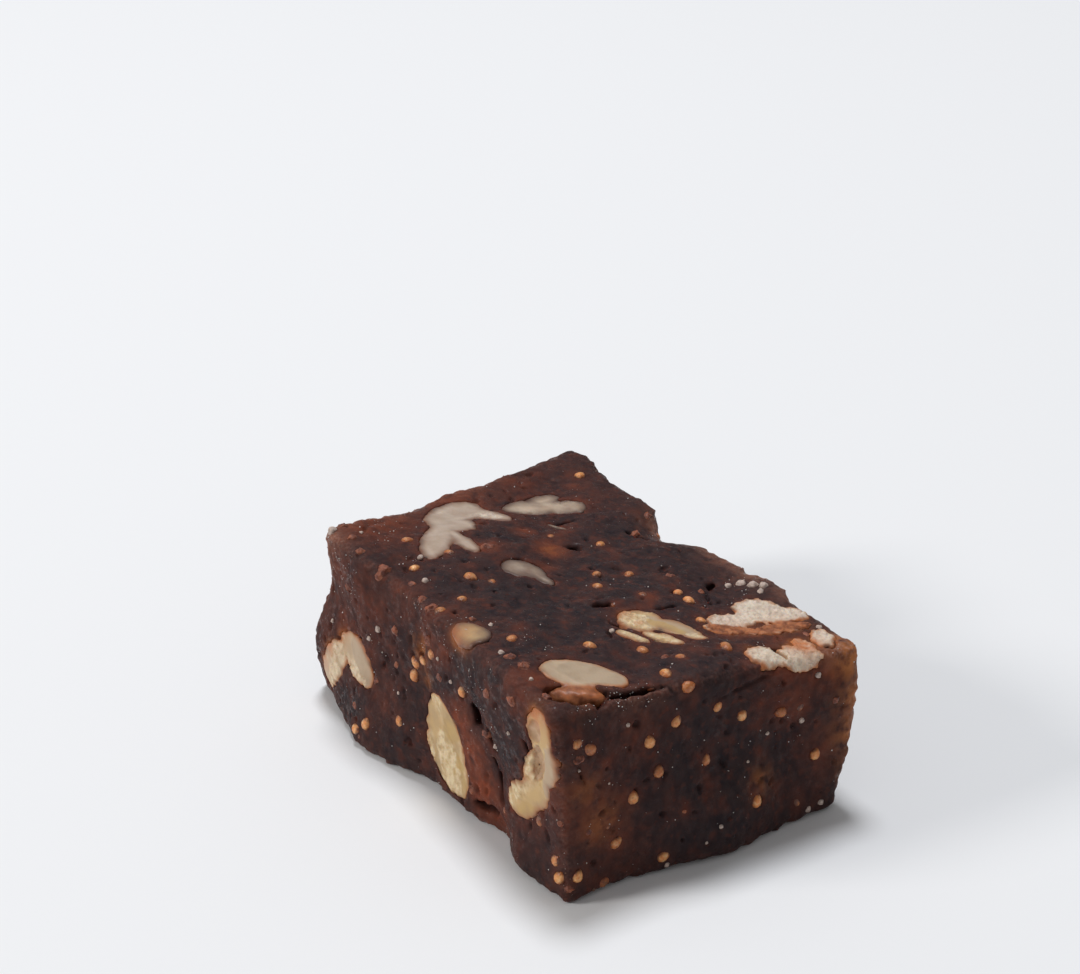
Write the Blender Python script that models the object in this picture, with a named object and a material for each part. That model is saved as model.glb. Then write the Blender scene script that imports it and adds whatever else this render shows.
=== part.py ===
"""Walnut delight: one knife-cut block of boiled fig paste, with walnut pieces and fig seeds set in it.

The origin is on the base, +X runs to the near end, -Y is the long side in which the walnuts show, and +Z is
up. Sizes are in millimetres until MM turns them into Blender's metres.
"""

import math
import random

import bmesh
import bpy
import numpy as np
from mathutils import Matrix, Vector

MM = 0.001

# The block
LENGTH = 54.9  # near end to far end
WIDTH = 34.5  # side to side
HEIGHT = 21.0  # base to the middle of the top
EDGE = 1.3  # the round that soft paste takes along a cut edge
GAP = 0.3  # clearance round each walnut piece
PROUD = 0.15  # how far a cut walnut stands above the paste

# The six knife cuts: the way each faces, how far out it lies on its own axis, and how it runs off square,
# in mm for each mm along x, y and z.
CUTS = {
    "top": ((0, 0, 1), HEIGHT, (0.005, -0.099, 0)),
    "base": ((0, 0, -1), 0.0, (0, 0, 0)),
    "near": ((1, 0, 0), LENGTH / 2 - 0.15, (0, 0.075, -0.05)),
    "far": ((-1, 0, 0), LENGTH / 2 + 0.15, (0, 0.13, -0.15)),
    "side": ((0, -1, 0), WIDTH / 2 - 0.65, (0.045, 0, 0.045)),
    "back": ((0, 1, 0), WIDTH / 2 + 0.65, (-0.05, 0, 0.12)),
}

# Slow swells of the faces: a few long waves across the whole block.
SWELL_SEED = 11
SWELL_COUNT = 8
SWELL_LONGEST = 24.0
SWELL_SHORTEST = 7.5
SWELL_SLOPE = 0.011  # a wave's height for each mm of its length

# Bulges (above 0) and dents (below 0) where the paste was squeezed or torn: x, y, z, radius, height.
BULGES = [
    (-10, -17, 0, 8.0, 3.6),  # foot of the long side
    (-24, -16, 6, 5.5, 1.1),
    (13, -19, 19, 5.0, 0.8),  # top edge of the long side
    (9.3, -18, 14, 2.6, -1.2),  # the furrow between two walnuts
    (12.0, -18, 9, 2.8, -1.5),
    (12.2, -18, 1, 2.6, -2.1),
    (18, -18, 0, 4.5, 0.9),
    (-4.6, 20, 19, 3.2, -3.2),  # the torn notch in the back edge
    (4, 20, 19, 6.0, 0.3),
    (13, 20, 19, 6.0, 0.5),
    (-12, 20, 19, 4.0, 0.7),
    (-22.5, -3, 21, 3.2, -0.3),  # far edge of the top
    (22, -16, 22, 3.0, -0.5),
    (28, 1, 0, 9.0, 1.6),  # foot of the near end
    (4, 18, 6, 9.0, 0.9),
    (-28, 6, 9, 8.0, 0.8),
]

# Tears and pits, each an ellipsoid sunk in a face: face, across, up, length, width, depth, turn in degrees.
# Across and up are x and y on the top and base, x and z on the long sides, and y and z on the ends.
HOLLOWS = [
    ("top", 22.3, -14.2, 6.4, 3.3, 2.2, 64),
    ("top", 24.5, -9.4, 6.8, 0.7, 1.2, 86),
    ("side", 8.6, 14.0, 3.0, 2.0, 1.8, -55),
    ("side", 11.9, 12.4, 3.2, 1.8, 1.8, -62),
    ("side", 9.9, 2.7, 4.2, 1.3, 1.4, 12),
    ("top", 8.2, -0.2, 2.4, 1.3, 1.4, 60),
    ("top", -6.1, 6.3, 1.6, 1.3, 1.4, 0),
    ("back", -4.0, 9.0, 6.0, 1.6, 2.4, 50),
    ("far", -9.0, 6.0, 4.0, 1.5, 2.0, -40),
]

# Each walnut piece is one or more lobes of a broken kernel: across, up, length, width, turn in degrees.
LOBE_DEPTH = 0.95  # of a lobe's width
WALNUTS = {
    "walnut_far_corner": ("top", [(-19.6, -0.8, 9.0, 5.2, -75), (-13.8, -6.8, 10.4, 4.0, -44),
                                  (-17.6, 2.8, 6.4, 3.2, 20), (-12.4, -4.6, 7.6, 2.4, -4),
                                  (-17.0, -2.8, 6.0, 5.4, 37)]),
    "walnut_back_rim": ("top", [(-17.4, 8.8, 7.6, 4.8, 75), (-15.4, 11.8, 5.6, 4.0, 50),
                                (-18.6, 11.2, 4.2, 3.2, 90)]),
    "walnut_chip": ("top", [(-3.4, -2.4, 5.4, 4.0, 60), (-1.4, -1.6, 4.6, 2.2, 10)]),
    "walnut_middle": ("top", [(12.8, 1.2, 5.4, 5.0, 0), (16.2, 3.4, 7.2, 3.0, 18)]),
    "walnut_back_edge": ("top", [(17.2, 10.8, 7.4, 3.4, 78), (17.0, 14.4, 6.4, 5.0, 20),
                                 (19.0, 16.2, 5.2, 3.6, 75)]),
    "walnut_near_corner": ("top", [(25.4, 7.9, 4.2, 3.6, 70), (26.6, 11.4, 6.0, 3.6, 75)]),
    "walnut_corner_crumb": ("top", [(25.0, 16.2, 4.2, 2.8, -20)]),
    "walnut_front": ("top", [(19.0, -12.0, 7.4, 5.2, 58), (20.4, -10.1, 6.6, 4.0, 34)]),
    "walnut_side_edge": ("top", [(6.6, -16.2, 5.4, 3.9, -12)]),
    "walnut_foot": ("side", [(-20.0, 6.3, 10.8, 4.2, 55), (-14.4, 9.6, 8.2, 4.6, -22)]),
    "walnut_spindle": ("side", [(2.1, 7.0, 11.4, 6.8, -72), (3.8, 4.2, 6.4, 5.2, -35)]),
    "walnut_curl": ("side", [(22.3, 18.6, 7.0, 4.6, -85), (22.6, 15.4, 6.4, 4.6, 70),
                             (20.6, 11.3, 6.0, 4.4, 55), (17.7, 8.5, 7.2, 4.4, 30)]),
    "walnut_back_left": ("back", [(-15.0, 11.0, 9.0, 5.0, 35), (-11.4, 13.4, 5.4, 4.0, -15)]),
    "walnut_back_middle": ("back", [(4.0, 7.0, 9.6, 4.6, -28)]),
    "walnut_back_right": ("back", [(14.0, 10.0, 6.4, 4.8, 70), (15.6, 6.6, 5.0, 3.6, 20)]),
    "walnut_far_upper": ("far", [(-3.0, 13.0, 8.6, 5.0, 62), (-6.2, 10.6, 5.2, 3.8, 10)]),
    "walnut_far_lower": ("far", [(8.6, 7.4, 7.2, 4.2, -24)]),
    "walnut_base_far": ("base", [(-12.0, 5.0, 10.0, 5.6, 30), (-8.0, 2.4, 5.6, 4.2, -30)]),
    "walnut_base_near": ("base", [(11.0, -5.0, 8.8, 5.0, -50)]),
}

# Fig seeds, half sunk in the paste, mostly in the small nests in which a fig has them: across and up.
SEED_LENGTH = 1.45
SEED_WIDTH = 1.15
SEED_SINK = 0.2
SEED_ROOM = 1.0  # least paste between a seed and a walnut or a tear
SEED_SPACING = 1.3  # in seed lengths, centre to centre
SEED_SPREAD = 0.35
SEED_DRAW = 5
SEED_TRIES = 12
SEEDS = {
    "top": [(-20.5, 8.2), (-21.1, 18.0), (-15.6, -12.2), (-13.4, -10.1), (-10.3, -12.7), (-3.9, -8.9),
            (-2.6, -7.2), (-0.8, -11.9), (-5.2, 9.8), (1.1, 3.9), (3.8, 2.6), (-0.2, -4.7), (9.8, -13.4),
            (15.2, -6.6), (0.3, -15.4), (3.2, 7.2), (8.6, 5.6), (9.2, 8.8), (22.1, 5.4), (18.2, -2.7),
            (22.1, -0.8), (25.8, -3.0), (23.6, -4.6)],
    "side": [(-10.5, 3.4), (24.4, 2.6), (20.4, 4.9), (-3.6, 14.0), (-1.7, 15.2), (-2.0, 12.6),
             (0.4, 17.0), (-5.6, 6.4), (-24.5, 11.0)],
    "near": [(-15.0, 17.9), (-4.2, 16.9), (3.8, 15.2), (-7.1, 15.4), (-6.9, 12.2), (-10.4, 10.5),
             (4.4, 5.2), (11.3, 2.9), (13.9, 7.8), (-11.2, 4.9), (-6.2, 1.4), (-1.1, 12.2), (8.7, 13.8)],
}
# Seeds on the other faces: how many, how far across, and from how low to how high.
SCATTERED = {"back": (18, 22, 3, 17), "far": (12, 13, 3, 17)}

# How finely the solids are faceted
GRID = 2.6  # surface lattice of the block
KNIFE_GRID = 4.0  # surface lattice that slices the walnuts
EDGE_LINES = (0.0, 0.45, 1.0)  # lattice lines in a rounded edge, as shares of its radius
CORE_DEPTH = 5.0  # the lattice is laid outwards from a core this far inside the cuts
HALVINGS = 30  # steps of the search for the surface along a line
SETTLES = 6  # steps that settle a point onto a face
SEED_SIDES = 6
SEED_RINGS = 4

# Finishes: colour, roughness
PASTE_FINISH = ((0.045, 0.022, 0.018), 0.45)
WALNUT_FINISH = ((0.50, 0.38, 0.24), 0.6)

FACE_AXES = {"top": (0, 1), "base": (0, 1), "side": (0, 2), "back": (0, 2), "near": (1, 2), "far": (1, 2)}


def cut_distance(points, name):
    """How far the points lie outside one knife cut."""
    axis, reach, lean = CUTS[name]
    normal = np.subtract(axis, lean)
    return (points @ normal - reach) / np.linalg.norm(normal)


def swells():
    """The long waves: their wave vectors, phases and heights."""
    draw = random.Random(SWELL_SEED)
    vectors, phases, heights = [], [], []
    for i in range(SWELL_COUNT):
        length = SWELL_LONGEST * (SWELL_SHORTEST / SWELL_LONGEST) ** (i / (SWELL_COUNT - 1))
        turn, rise = draw.uniform(0, 2 * math.pi), draw.uniform(-1, 1)
        flat = math.sqrt(1 - rise * rise)
        way = np.array([flat * math.cos(turn), flat * math.sin(turn), rise])
        vectors.append(way * 2 * math.pi / length)
        phases.append(draw.uniform(0, 2 * math.pi))
        heights.append(SWELL_SLOPE * length)
    return np.array(vectors), np.array(phases), np.array(heights)


SWELLS = swells()


def relief(points):
    """How far the faces stand out from their flat cuts."""
    vectors, phases, heights = SWELLS
    waves = np.sin(points @ vectors.T + phases) @ heights
    x, y, z, radius, height = np.array(BULGES, float).T
    centres = np.stack([x, y, z], axis=1)
    squared = ((points[:, None, :] - centres) ** 2).sum(axis=2)
    return waves + np.exp(-squared / radius**2) @ height


def paste_distance(points):
    """Signed distance to the surface of the block, with its cut edges rounded and its base left flat."""
    stand = relief(points)
    outside = {name: cut_distance(points, name) - (name != "base") * stand for name in CUTS}
    pairs = (("near", "far"), ("side", "back"), ("top", "base"))
    reach = np.stack([np.maximum(outside[a], outside[b]) for a, b in pairs], axis=1) + EDGE
    return np.linalg.norm(np.maximum(reach, 0), axis=1) + np.minimum(reach.max(axis=1), 0) - EDGE


def outward(point, step=0.02):
    """The direction in which the block's surface faces at a point."""
    shifts = np.concatenate([np.eye(3), -np.eye(3)]) * step
    there = paste_distance(point + shifts)
    way = there[:3] - there[3:]
    return way / np.linalg.norm(way)


def corner(names, depth=0.0):
    """Where three cuts meet, or where they would if each lay deeper by so much."""
    normals = np.array([np.subtract(CUTS[n][0], CUTS[n][2]) for n in names])
    return np.linalg.solve(normals, [CUTS[n][1] - depth for n in names])


def lattice_steps(length, grid):
    """Places of the lattice lines along one side, from 0 to 1, closer together in the rounded edges."""
    rounded = [share * EDGE for share in EDGE_LINES]
    inner = max(2, round((length - 2 * EDGE) / grid))
    middle = [EDGE + (length - 2 * EDGE) * i / inner for i in range(1, inner)]
    return [s / length for s in rounded + middle + [length - r for r in reversed(rounded)]]


def blend(corners, u, v, w):
    """The point at these shares of the way between eight corners."""
    shares = {c: math.prod(t if end else 1 - t for end, t in zip(c, (u, v, w))) for c in corners}
    return sum(shares[c] * corners[c] for c in corners)


def out_to_surface(inner, outer, offset):
    """Each point of the ray from inner through outer where the surface, or an offset of it, lies."""
    low, high = np.zeros(len(inner)), np.full(len(inner), 2.0)
    for _ in range(HALVINGS):
        middle = (low + high) / 2
        inside = paste_distance(inner + middle[:, None] * (outer - inner)) < offset
        low, high = np.where(inside, middle, low), np.where(inside, high, middle)
    return inner + low[:, None] * (outer - inner)


def block_mesh(name, grid, offset=0.0):
    """The closed skin of the block: a lattice over six faces, laid straight out from a core."""
    sizes = (LENGTH, WIDTH, HEIGHT)
    steps = [lattice_steps(length, grid) for length in sizes]
    ends = {
        (i, j, k): (("far", "near")[i], ("side", "back")[j], ("base", "top")[k])
        for i in (0, 1) for j in (0, 1) for k in (0, 1)
    }
    hull = {c: corner(names) for c, names in ends.items()}
    core = {c: corner(names, CORE_DEPTH) for c, names in ends.items()}
    index, inner, outer, faces = {}, [], [], []

    def vertex(at):
        if at not in index:
            shares = [step[i] for step, i in zip(steps, at)]
            outer.append(blend(hull, *shares))
            depths = [CORE_DEPTH / size for size in sizes]
            held = [min(max((s - d) / (1 - 2 * d), 0), 1) for s, d in zip(shares, depths)]
            inner.append(blend(core, *held))
            index[at] = len(index)
        return index[at]

    last = [len(s) - 1 for s in steps]
    for axis in range(3):
        across, up = [a for a in range(3) if a != axis]
        for end in (0, last[axis]):
            for a in range(last[across]):
                for b in range(last[up]):
                    ring = []
                    for da, db in ((0, 0), (1, 0), (1, 1), (0, 1)):
                        at = [0, 0, 0]
                        at[axis], at[across], at[up] = end, a + da, b + db
                        ring.append(vertex(tuple(at)))
                    faces.append(ring)
    places = out_to_surface(np.array(inner), np.array(outer), offset)
    places[:, 2] = np.maximum(places[:, 2], 0)
    mesh = bpy.data.meshes.new(name)
    mesh.from_pydata((places * MM).tolist(), [], faces)
    shell = bmesh.new()
    shell.from_mesh(mesh)
    bmesh.ops.triangulate(shell, faces=shell.faces)
    bmesh.ops.recalc_face_normals(shell, faces=shell.faces)
    shell.to_mesh(mesh)
    shell.free()
    return mesh


def place_on(face, across, up):
    """The point of a face at these two coordinates, in mm."""
    axis = np.array(CUTS[face][0])
    point = CUTS[face][1] * axis.astype(float)
    point[FACE_AXES[face][0]] = across
    point[FACE_AXES[face][1]] = up
    for _ in range(SETTLES):
        point = point - paste_distance(point[None, :])[0] * axis
    return point


def ellipsoid_place(face, across, up, sizes, turn, sink=0.0):
    """The matrix that lays a unit ball in a face, stretched to a length, a width and a depth."""
    point = place_on(face, across, up)
    normal = Vector(outward(point))
    first, second = (Vector(np.eye(3)[axis]) for axis in FACE_AXES[face])
    along = (first - first.dot(normal) * normal).normalized()
    beside = normal.cross(along)
    beside *= math.copysign(1, beside.dot(second))
    angle = math.radians(turn)
    length = math.cos(angle) * along + math.sin(angle) * beside
    turned = Matrix((length, normal.cross(length), normal)).transposed().to_4x4()
    centre = (Vector(point) - sink * normal) * MM
    return Matrix.Translation(centre) @ turned @ Matrix.Diagonal([s * MM / 2 for s in sizes] + [1])


def linked(name, mesh, collection=None):
    thing = bpy.data.objects.new(name, mesh)
    (collection or bpy.context.scene.collection).objects.link(thing)
    return thing


def new_group(name):
    group = bpy.data.collections.new(name)
    bpy.context.scene.collection.children.link(group)
    return group


def remove(group):
    for thing in list(group.objects):
        bpy.data.objects.remove(thing)
    bpy.data.collections.remove(group)


def balls(name, places, seeds=False):
    """A collection that holds one ball for each place."""
    group = new_group(name)
    for place in places:
        ball = bmesh.new()
        if seeds:
            bmesh.ops.create_uvsphere(
                ball, u_segments=SEED_SIDES, v_segments=SEED_RINGS, radius=1.0, matrix=place
            )
        else:
            bmesh.ops.create_icosphere(ball, subdivisions=2, radius=1.0, matrix=place)
        bmesh.ops.recalc_face_normals(ball, faces=ball.faces)
        mesh = bpy.data.meshes.new(name)
        ball.to_mesh(mesh)
        ball.free()
        linked(name, mesh, group)
    return group


def apply_boolean(thing, operation, group):
    """Joins, cuts or trims the object with every object of the collection."""
    tool = thing.modifiers.new(operation.title(), "BOOLEAN")
    tool.operand_type = "COLLECTION"
    tool.operation = operation
    tool.collection = group
    graph = bpy.context.evaluated_depsgraph_get()
    shaped = bpy.data.meshes.new_from_object(thing.evaluated_get(graph))
    thing.modifiers.remove(tool)
    thing.data = shaped


def lobe_places(face, lobes, grow=0.0):
    """Where a walnut's lobes lie, each made larger all round by the clearance that is asked for."""
    places = []
    for across, up, length, width, turn in lobes:
        sizes = [s + 2 * grow for s in (length, width, LOBE_DEPTH * width)]
        places.append(ellipsoid_place(face, across, up, sizes, turn))
    return places


def finish(name, colour, roughness):
    material = bpy.data.materials.new(name)
    material.use_nodes = True
    shader = material.node_tree.nodes["Principled BSDF"]
    shader.inputs["Base Color"].default_value = (*colour, 1.0)
    shader.inputs["Roughness"].default_value = roughness
    return material


def dressed(thing, material):
    thing.data.materials.clear()
    thing.data.materials.append(material)


def walnut(name, face, lobes, knife, material):
    """One walnut piece: its lobes joined, then sliced off where the knife went through it."""
    group = balls(f"{name}_lobe", lobe_places(face, lobes))
    first = group.objects[0]
    piece = linked(name, first.data)
    bpy.data.objects.remove(first)
    apply_boolean(piece, "UNION", group)
    remove(group)
    apply_boolean(piece, "INTERSECT", knife)
    dressed(piece, material)


def walnuts(material):
    knife = new_group("knife")
    linked("knife", block_mesh("knife", KNIFE_GRID, PROUD), knife)
    for name, (face, lobes) in WALNUTS.items():
        walnut(name, face, lobes, knife, material)
    remove(knife)


def seed_spots():
    """Face, across, up and turn of every seed: the placed ones first, then the scattered ones."""
    draw = random.Random(SEED_DRAW)
    wanted = [(face, *spot) for face, spots in SEEDS.items() for spot in spots]
    for face, (count, reach, low, high) in SCATTERED.items():
        wanted += [(face, draw.uniform(-reach, reach), draw.uniform(low, high)) for _ in range(count)]
    holes = [(face, lobe) for face, lobes in WALNUTS.values() for lobe in lobes]
    holes += [(hollow[0], hollow[1:]) for hollow in HOLLOWS]
    holes = [(place_on(face, *hole[:2]), hole[2] / 2 + SEED_ROOM + SEED_LENGTH / 2) for face, hole in holes]
    spots = []
    for face, across, up in wanted:
        for _ in range(SEED_TRIES):
            a, b = across + draw.gauss(0, SEED_SPREAD), up + draw.gauss(0, SEED_SPREAD)
            point = place_on(face, a, b)
            if all(np.linalg.norm(point - centre) > reach for centre, reach in holes):
                holes.append((point, SEED_SPACING * SEED_LENGTH))
                spots.append((face, a, b, draw.uniform(0, 180)))
                break
    return spots


def paste(material):
    """The block of fig paste, with a pocket for each walnut, its tears and pits, and its seeds fused on."""
    block = linked("fig_paste", block_mesh("fig_paste", GRID))
    pockets = [place for face, lobes in WALNUTS.values() for place in lobe_places(face, lobes, GAP)]
    tears = [ellipsoid_place(f, a, b, (length, width, 2 * depth), turn)
             for f, a, b, length, width, depth, turn in HOLLOWS]
    hollows = balls("hollow", pockets + tears)
    apply_boolean(block, "DIFFERENCE", hollows)
    remove(hollows)
    sizes = (SEED_LENGTH, SEED_WIDTH, SEED_WIDTH)
    places = [ellipsoid_place(f, a, b, sizes, turn, SEED_SINK) for f, a, b, turn in seed_spots()]
    seeds = balls("seed", places, seeds=True)
    apply_boolean(block, "UNION", seeds)
    remove(seeds)
    dressed(block, material)


def main():
    for thing in list(bpy.data.objects):
        bpy.data.objects.remove(thing)
    paste(finish("fig_paste", *PASTE_FINISH))
    walnuts(finish("walnut", *WALNUT_FINISH))


main()
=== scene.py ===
import itertools
import math
import random

import bpy
import numpy as np
import openvdb
from mathutils import Matrix, Vector
from mathutils.bvhtree import BVHTree
from mathutils.kdtree import KDTree


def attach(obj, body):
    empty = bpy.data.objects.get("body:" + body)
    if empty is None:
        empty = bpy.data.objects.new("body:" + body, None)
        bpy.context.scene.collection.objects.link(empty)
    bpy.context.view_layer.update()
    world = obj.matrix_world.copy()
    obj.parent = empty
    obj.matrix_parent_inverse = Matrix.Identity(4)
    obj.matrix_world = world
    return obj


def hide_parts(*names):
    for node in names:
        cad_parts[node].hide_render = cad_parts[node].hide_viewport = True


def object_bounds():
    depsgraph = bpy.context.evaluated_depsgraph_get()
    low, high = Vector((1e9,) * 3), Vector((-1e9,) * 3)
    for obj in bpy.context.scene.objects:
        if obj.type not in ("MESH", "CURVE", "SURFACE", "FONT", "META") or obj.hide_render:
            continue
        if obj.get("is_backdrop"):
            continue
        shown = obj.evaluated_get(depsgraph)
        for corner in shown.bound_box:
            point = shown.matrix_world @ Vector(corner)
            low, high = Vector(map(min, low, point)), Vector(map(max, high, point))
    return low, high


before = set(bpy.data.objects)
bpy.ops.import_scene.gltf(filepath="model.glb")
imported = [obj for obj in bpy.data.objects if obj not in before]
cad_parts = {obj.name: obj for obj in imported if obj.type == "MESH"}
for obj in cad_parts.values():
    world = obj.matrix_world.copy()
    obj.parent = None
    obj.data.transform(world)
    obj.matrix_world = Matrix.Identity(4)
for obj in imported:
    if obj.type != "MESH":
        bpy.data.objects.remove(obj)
cad_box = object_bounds()

# The cut of the block.
# Fig paste is boiled thick, set in a tray and cut with a knife into blocks. The six cuts run a little off
# square, the soft paste rounds over at their edges, and it is squeezed and torn in places. Sizes are in mm.

MM = 0.001
LENGTH = 54.9
WIDTH = 34.5
HEIGHT = 21.0
EDGE = 1.3  # the round along a cut edge

# The six knife cuts: the way each faces, how far out it lies on its own axis, and how it runs off square.
CUTS = {
    "top": ((0, 0, 1), HEIGHT, (0.005, -0.099, 0)),
    "base": ((0, 0, -1), 0.0, (0, 0, 0)),
    "near": ((1, 0, 0), LENGTH / 2 - 0.15, (0, 0.075, -0.05)),
    "far": ((-1, 0, 0), LENGTH / 2 + 0.15, (0, 0.13, -0.15)),
    "side": ((0, -1, 0), WIDTH / 2 - 0.65, (0.045, 0, 0.045)),
    "back": ((0, 1, 0), WIDTH / 2 + 0.65, (-0.05, 0, 0.12)),
}
FACE_AXES = {"top": (0, 1), "base": (0, 1), "side": (0, 2), "back": (0, 2), "near": (1, 2), "far": (1, 2)}

SWELL_SEED = 11
SWELL_COUNT = 8
SWELL_LONGEST = 24.0
SWELL_SHORTEST = 7.5
SWELL_SLOPE = 0.011  # a wave's height for each mm of its length
SETTLING_STEPS = 6  # steps in which a place is brought onto a face
NORMAL_REACH = 0.02  # how far apart the distances are that a face's slope is read from

# Bulges (above 0) and dents (below 0) where the paste was squeezed or torn: x, y, z, radius, height.
BULGES = [
    (-10, -17, 0, 8.0, 3.6),  # foot of the long side
    (-24, -16, 6, 5.5, 1.1),
    (13, -19, 19, 5.0, 0.8),  # top edge of the long side
    (9.3, -18, 14, 2.6, -1.2),  # the furrow between two walnuts
    (12.0, -18, 9, 2.8, -1.5),
    (12.2, -18, 1, 2.6, -2.1),
    (18, -18, 0, 4.5, 0.9),
    (-4.6, 20, 19, 3.2, -3.2),  # the torn notch in the back edge
    (4, 20, 19, 6.0, 0.3),
    (13, 20, 19, 6.0, 0.5),
    (-12, 20, 19, 4.0, 0.7),
    (-22.5, -3, 21, 3.2, -0.3),  # far edge of the top
    (22, -16, 22, 3.0, -0.5),
    (28, 1, 0, 9.0, 1.6),  # foot of the near end
    (4, 18, 6, 9.0, 0.9),
    (-28, 6, 9, 8.0, 0.8),
]


def waves(seed, count, longest, shortest):
    """Wave vectors and phases that run every way, from long waves to short ones."""
    draw = random.Random(seed)
    vectors, phases = [], []
    for i in range(count):
        length = longest * (shortest / longest) ** (i / (count - 1))
        turn, rise = draw.uniform(0, 2 * math.pi), draw.uniform(-1, 1)
        flat = math.sqrt(1 - rise * rise)
        vectors.append(np.array([flat * math.cos(turn), flat * math.sin(turn), rise]) * 2 * math.pi / length)
        phases.append(draw.uniform(0, 2 * math.pi))
    return np.array(vectors), np.array(phases)


SWELLS = waves(SWELL_SEED, SWELL_COUNT, SWELL_LONGEST, SWELL_SHORTEST)


def swollen(points):
    """How far the faces stand out from their flat cuts."""
    stand = np.zeros(len(points))
    for vector, phase in zip(*SWELLS):
        stand += SWELL_SLOPE * 2 * math.pi / np.linalg.norm(vector) * np.sin(points @ vector + phase)
    for x, y, z, radius, height in BULGES:
        stand += height * np.exp(-((points - (x, y, z)) ** 2).sum(axis=1) / radius**2)
    return stand


def cut_reach(points):
    """How far the points lie outside the cuts across each axis, counted from the edges' inner round."""
    stand = swollen(points)
    outside = {}
    for name, (axis, reach, lean) in CUTS.items():
        normal = np.subtract(axis, lean)
        outside[name] = (points @ normal - reach) / np.linalg.norm(normal) - (name != "base") * stand
    pairs = (("near", "far"), ("side", "back"), ("top", "base"))
    return np.stack([np.maximum(outside[a], outside[b]) for a, b in pairs], axis=1) + EDGE


def block_distance(points):
    """Signed distance to the surface of the block, with its cut edges rounded and its base left flat."""
    reach = cut_reach(points)
    return np.linalg.norm(np.maximum(reach, 0), axis=1) + np.minimum(reach.max(axis=1), 0) - EDGE


def place_on(face, across, up):
    """The point of a face at these two coordinates."""
    axis = np.array(CUTS[face][0])
    point = CUTS[face][1] * axis.astype(float)
    point[FACE_AXES[face][0]] = across
    point[FACE_AXES[face][1]] = up
    for _ in range(SETTLING_STEPS):
        point = point - block_distance(point[None, :])[0] * axis
    return point


def laid_in(face, across, up, turn, sink=0.0):
    """A point of a face and three unit axes there: along the turn, beside it, and out of the face."""
    point = place_on(face, across, up)
    shifts = np.concatenate([np.eye(3), -np.eye(3)]) * NORMAL_REACH
    there = block_distance(point + shifts)
    normal = (there[:3] - there[3:]) / np.linalg.norm(there[:3] - there[3:])
    first, second = (np.eye(3)[axis] for axis in FACE_AXES[face])
    along = first - (first @ normal) * normal
    along = along / np.linalg.norm(along)
    beside = np.cross(normal, along)
    beside = beside * math.copysign(1, beside @ second)
    angle = math.radians(turn)
    length = math.cos(angle) * along + math.sin(angle) * beside
    return point - sink * normal, np.stack([length, np.cross(normal, length), normal])


# Walnut pieces.
# Broken walnut kernels are stirred into the hot paste, and the knife slices whatever lies in its way. A clean
# cut is smooth and cream, a break is white and crumbly, and a thin brown skin lines the kernel's outer side.

LOBE_DEPTH = 0.95  # of a lobe's width
KERNEL_STEP = 0.14  # the grid that a kernel's surface is drawn from
KERNEL_MARGIN = 0.7  # free room round it on that grid
KERNEL_BLEND = 0.5  # how softly its lobes run together
KNIFE_ROUND = 0.3  # the round where the knife's cut meets its outline
OUTLINE_WAVES = waves(21, 16, 4.0, 0.8)
OUTLINE_ROUGH = 0.055
HOLLOW_UNEVEN = 0.06
HOLLOW_ROUND = 0.2
CRUMB_PATCHES = waves(22, 8, 7.0, 3.0)
CRUMB_GRAIN = 0.55
CRUMB_DEPTH = 0.24
CRUMB_BAND = (1.4, 0.6)  # how near the cut, and how near the outline, the flesh is crumbled
MARK_DEPTH = 6.0  # how deep a mark on the cut reaches into the flesh
MARK_UNEVEN = 0.14
MARK_FADE = 0.3  # how softly marks and free skins end
SKIN_FADE = 0.25
SKIN_LEAST = 0.4  # how much of it is left where it is thinnest
FLAKE_MARGIN = 0.2
CUT_SINK = 0.04  # how far the cut flesh lies under what CUT_LOOKS says
UNDER_SKIN = (0.35, 0.3)  # the depth at which the brown skin starts, and over which it comes in
IN_HOLLOW = (0.1, 0.3)  # and the same for the flesh of a hollow
STAIN_WIDTH = (0.7, 3.2)  # how far in from its outline the paste stains a kernel: bare, and under a film

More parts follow.
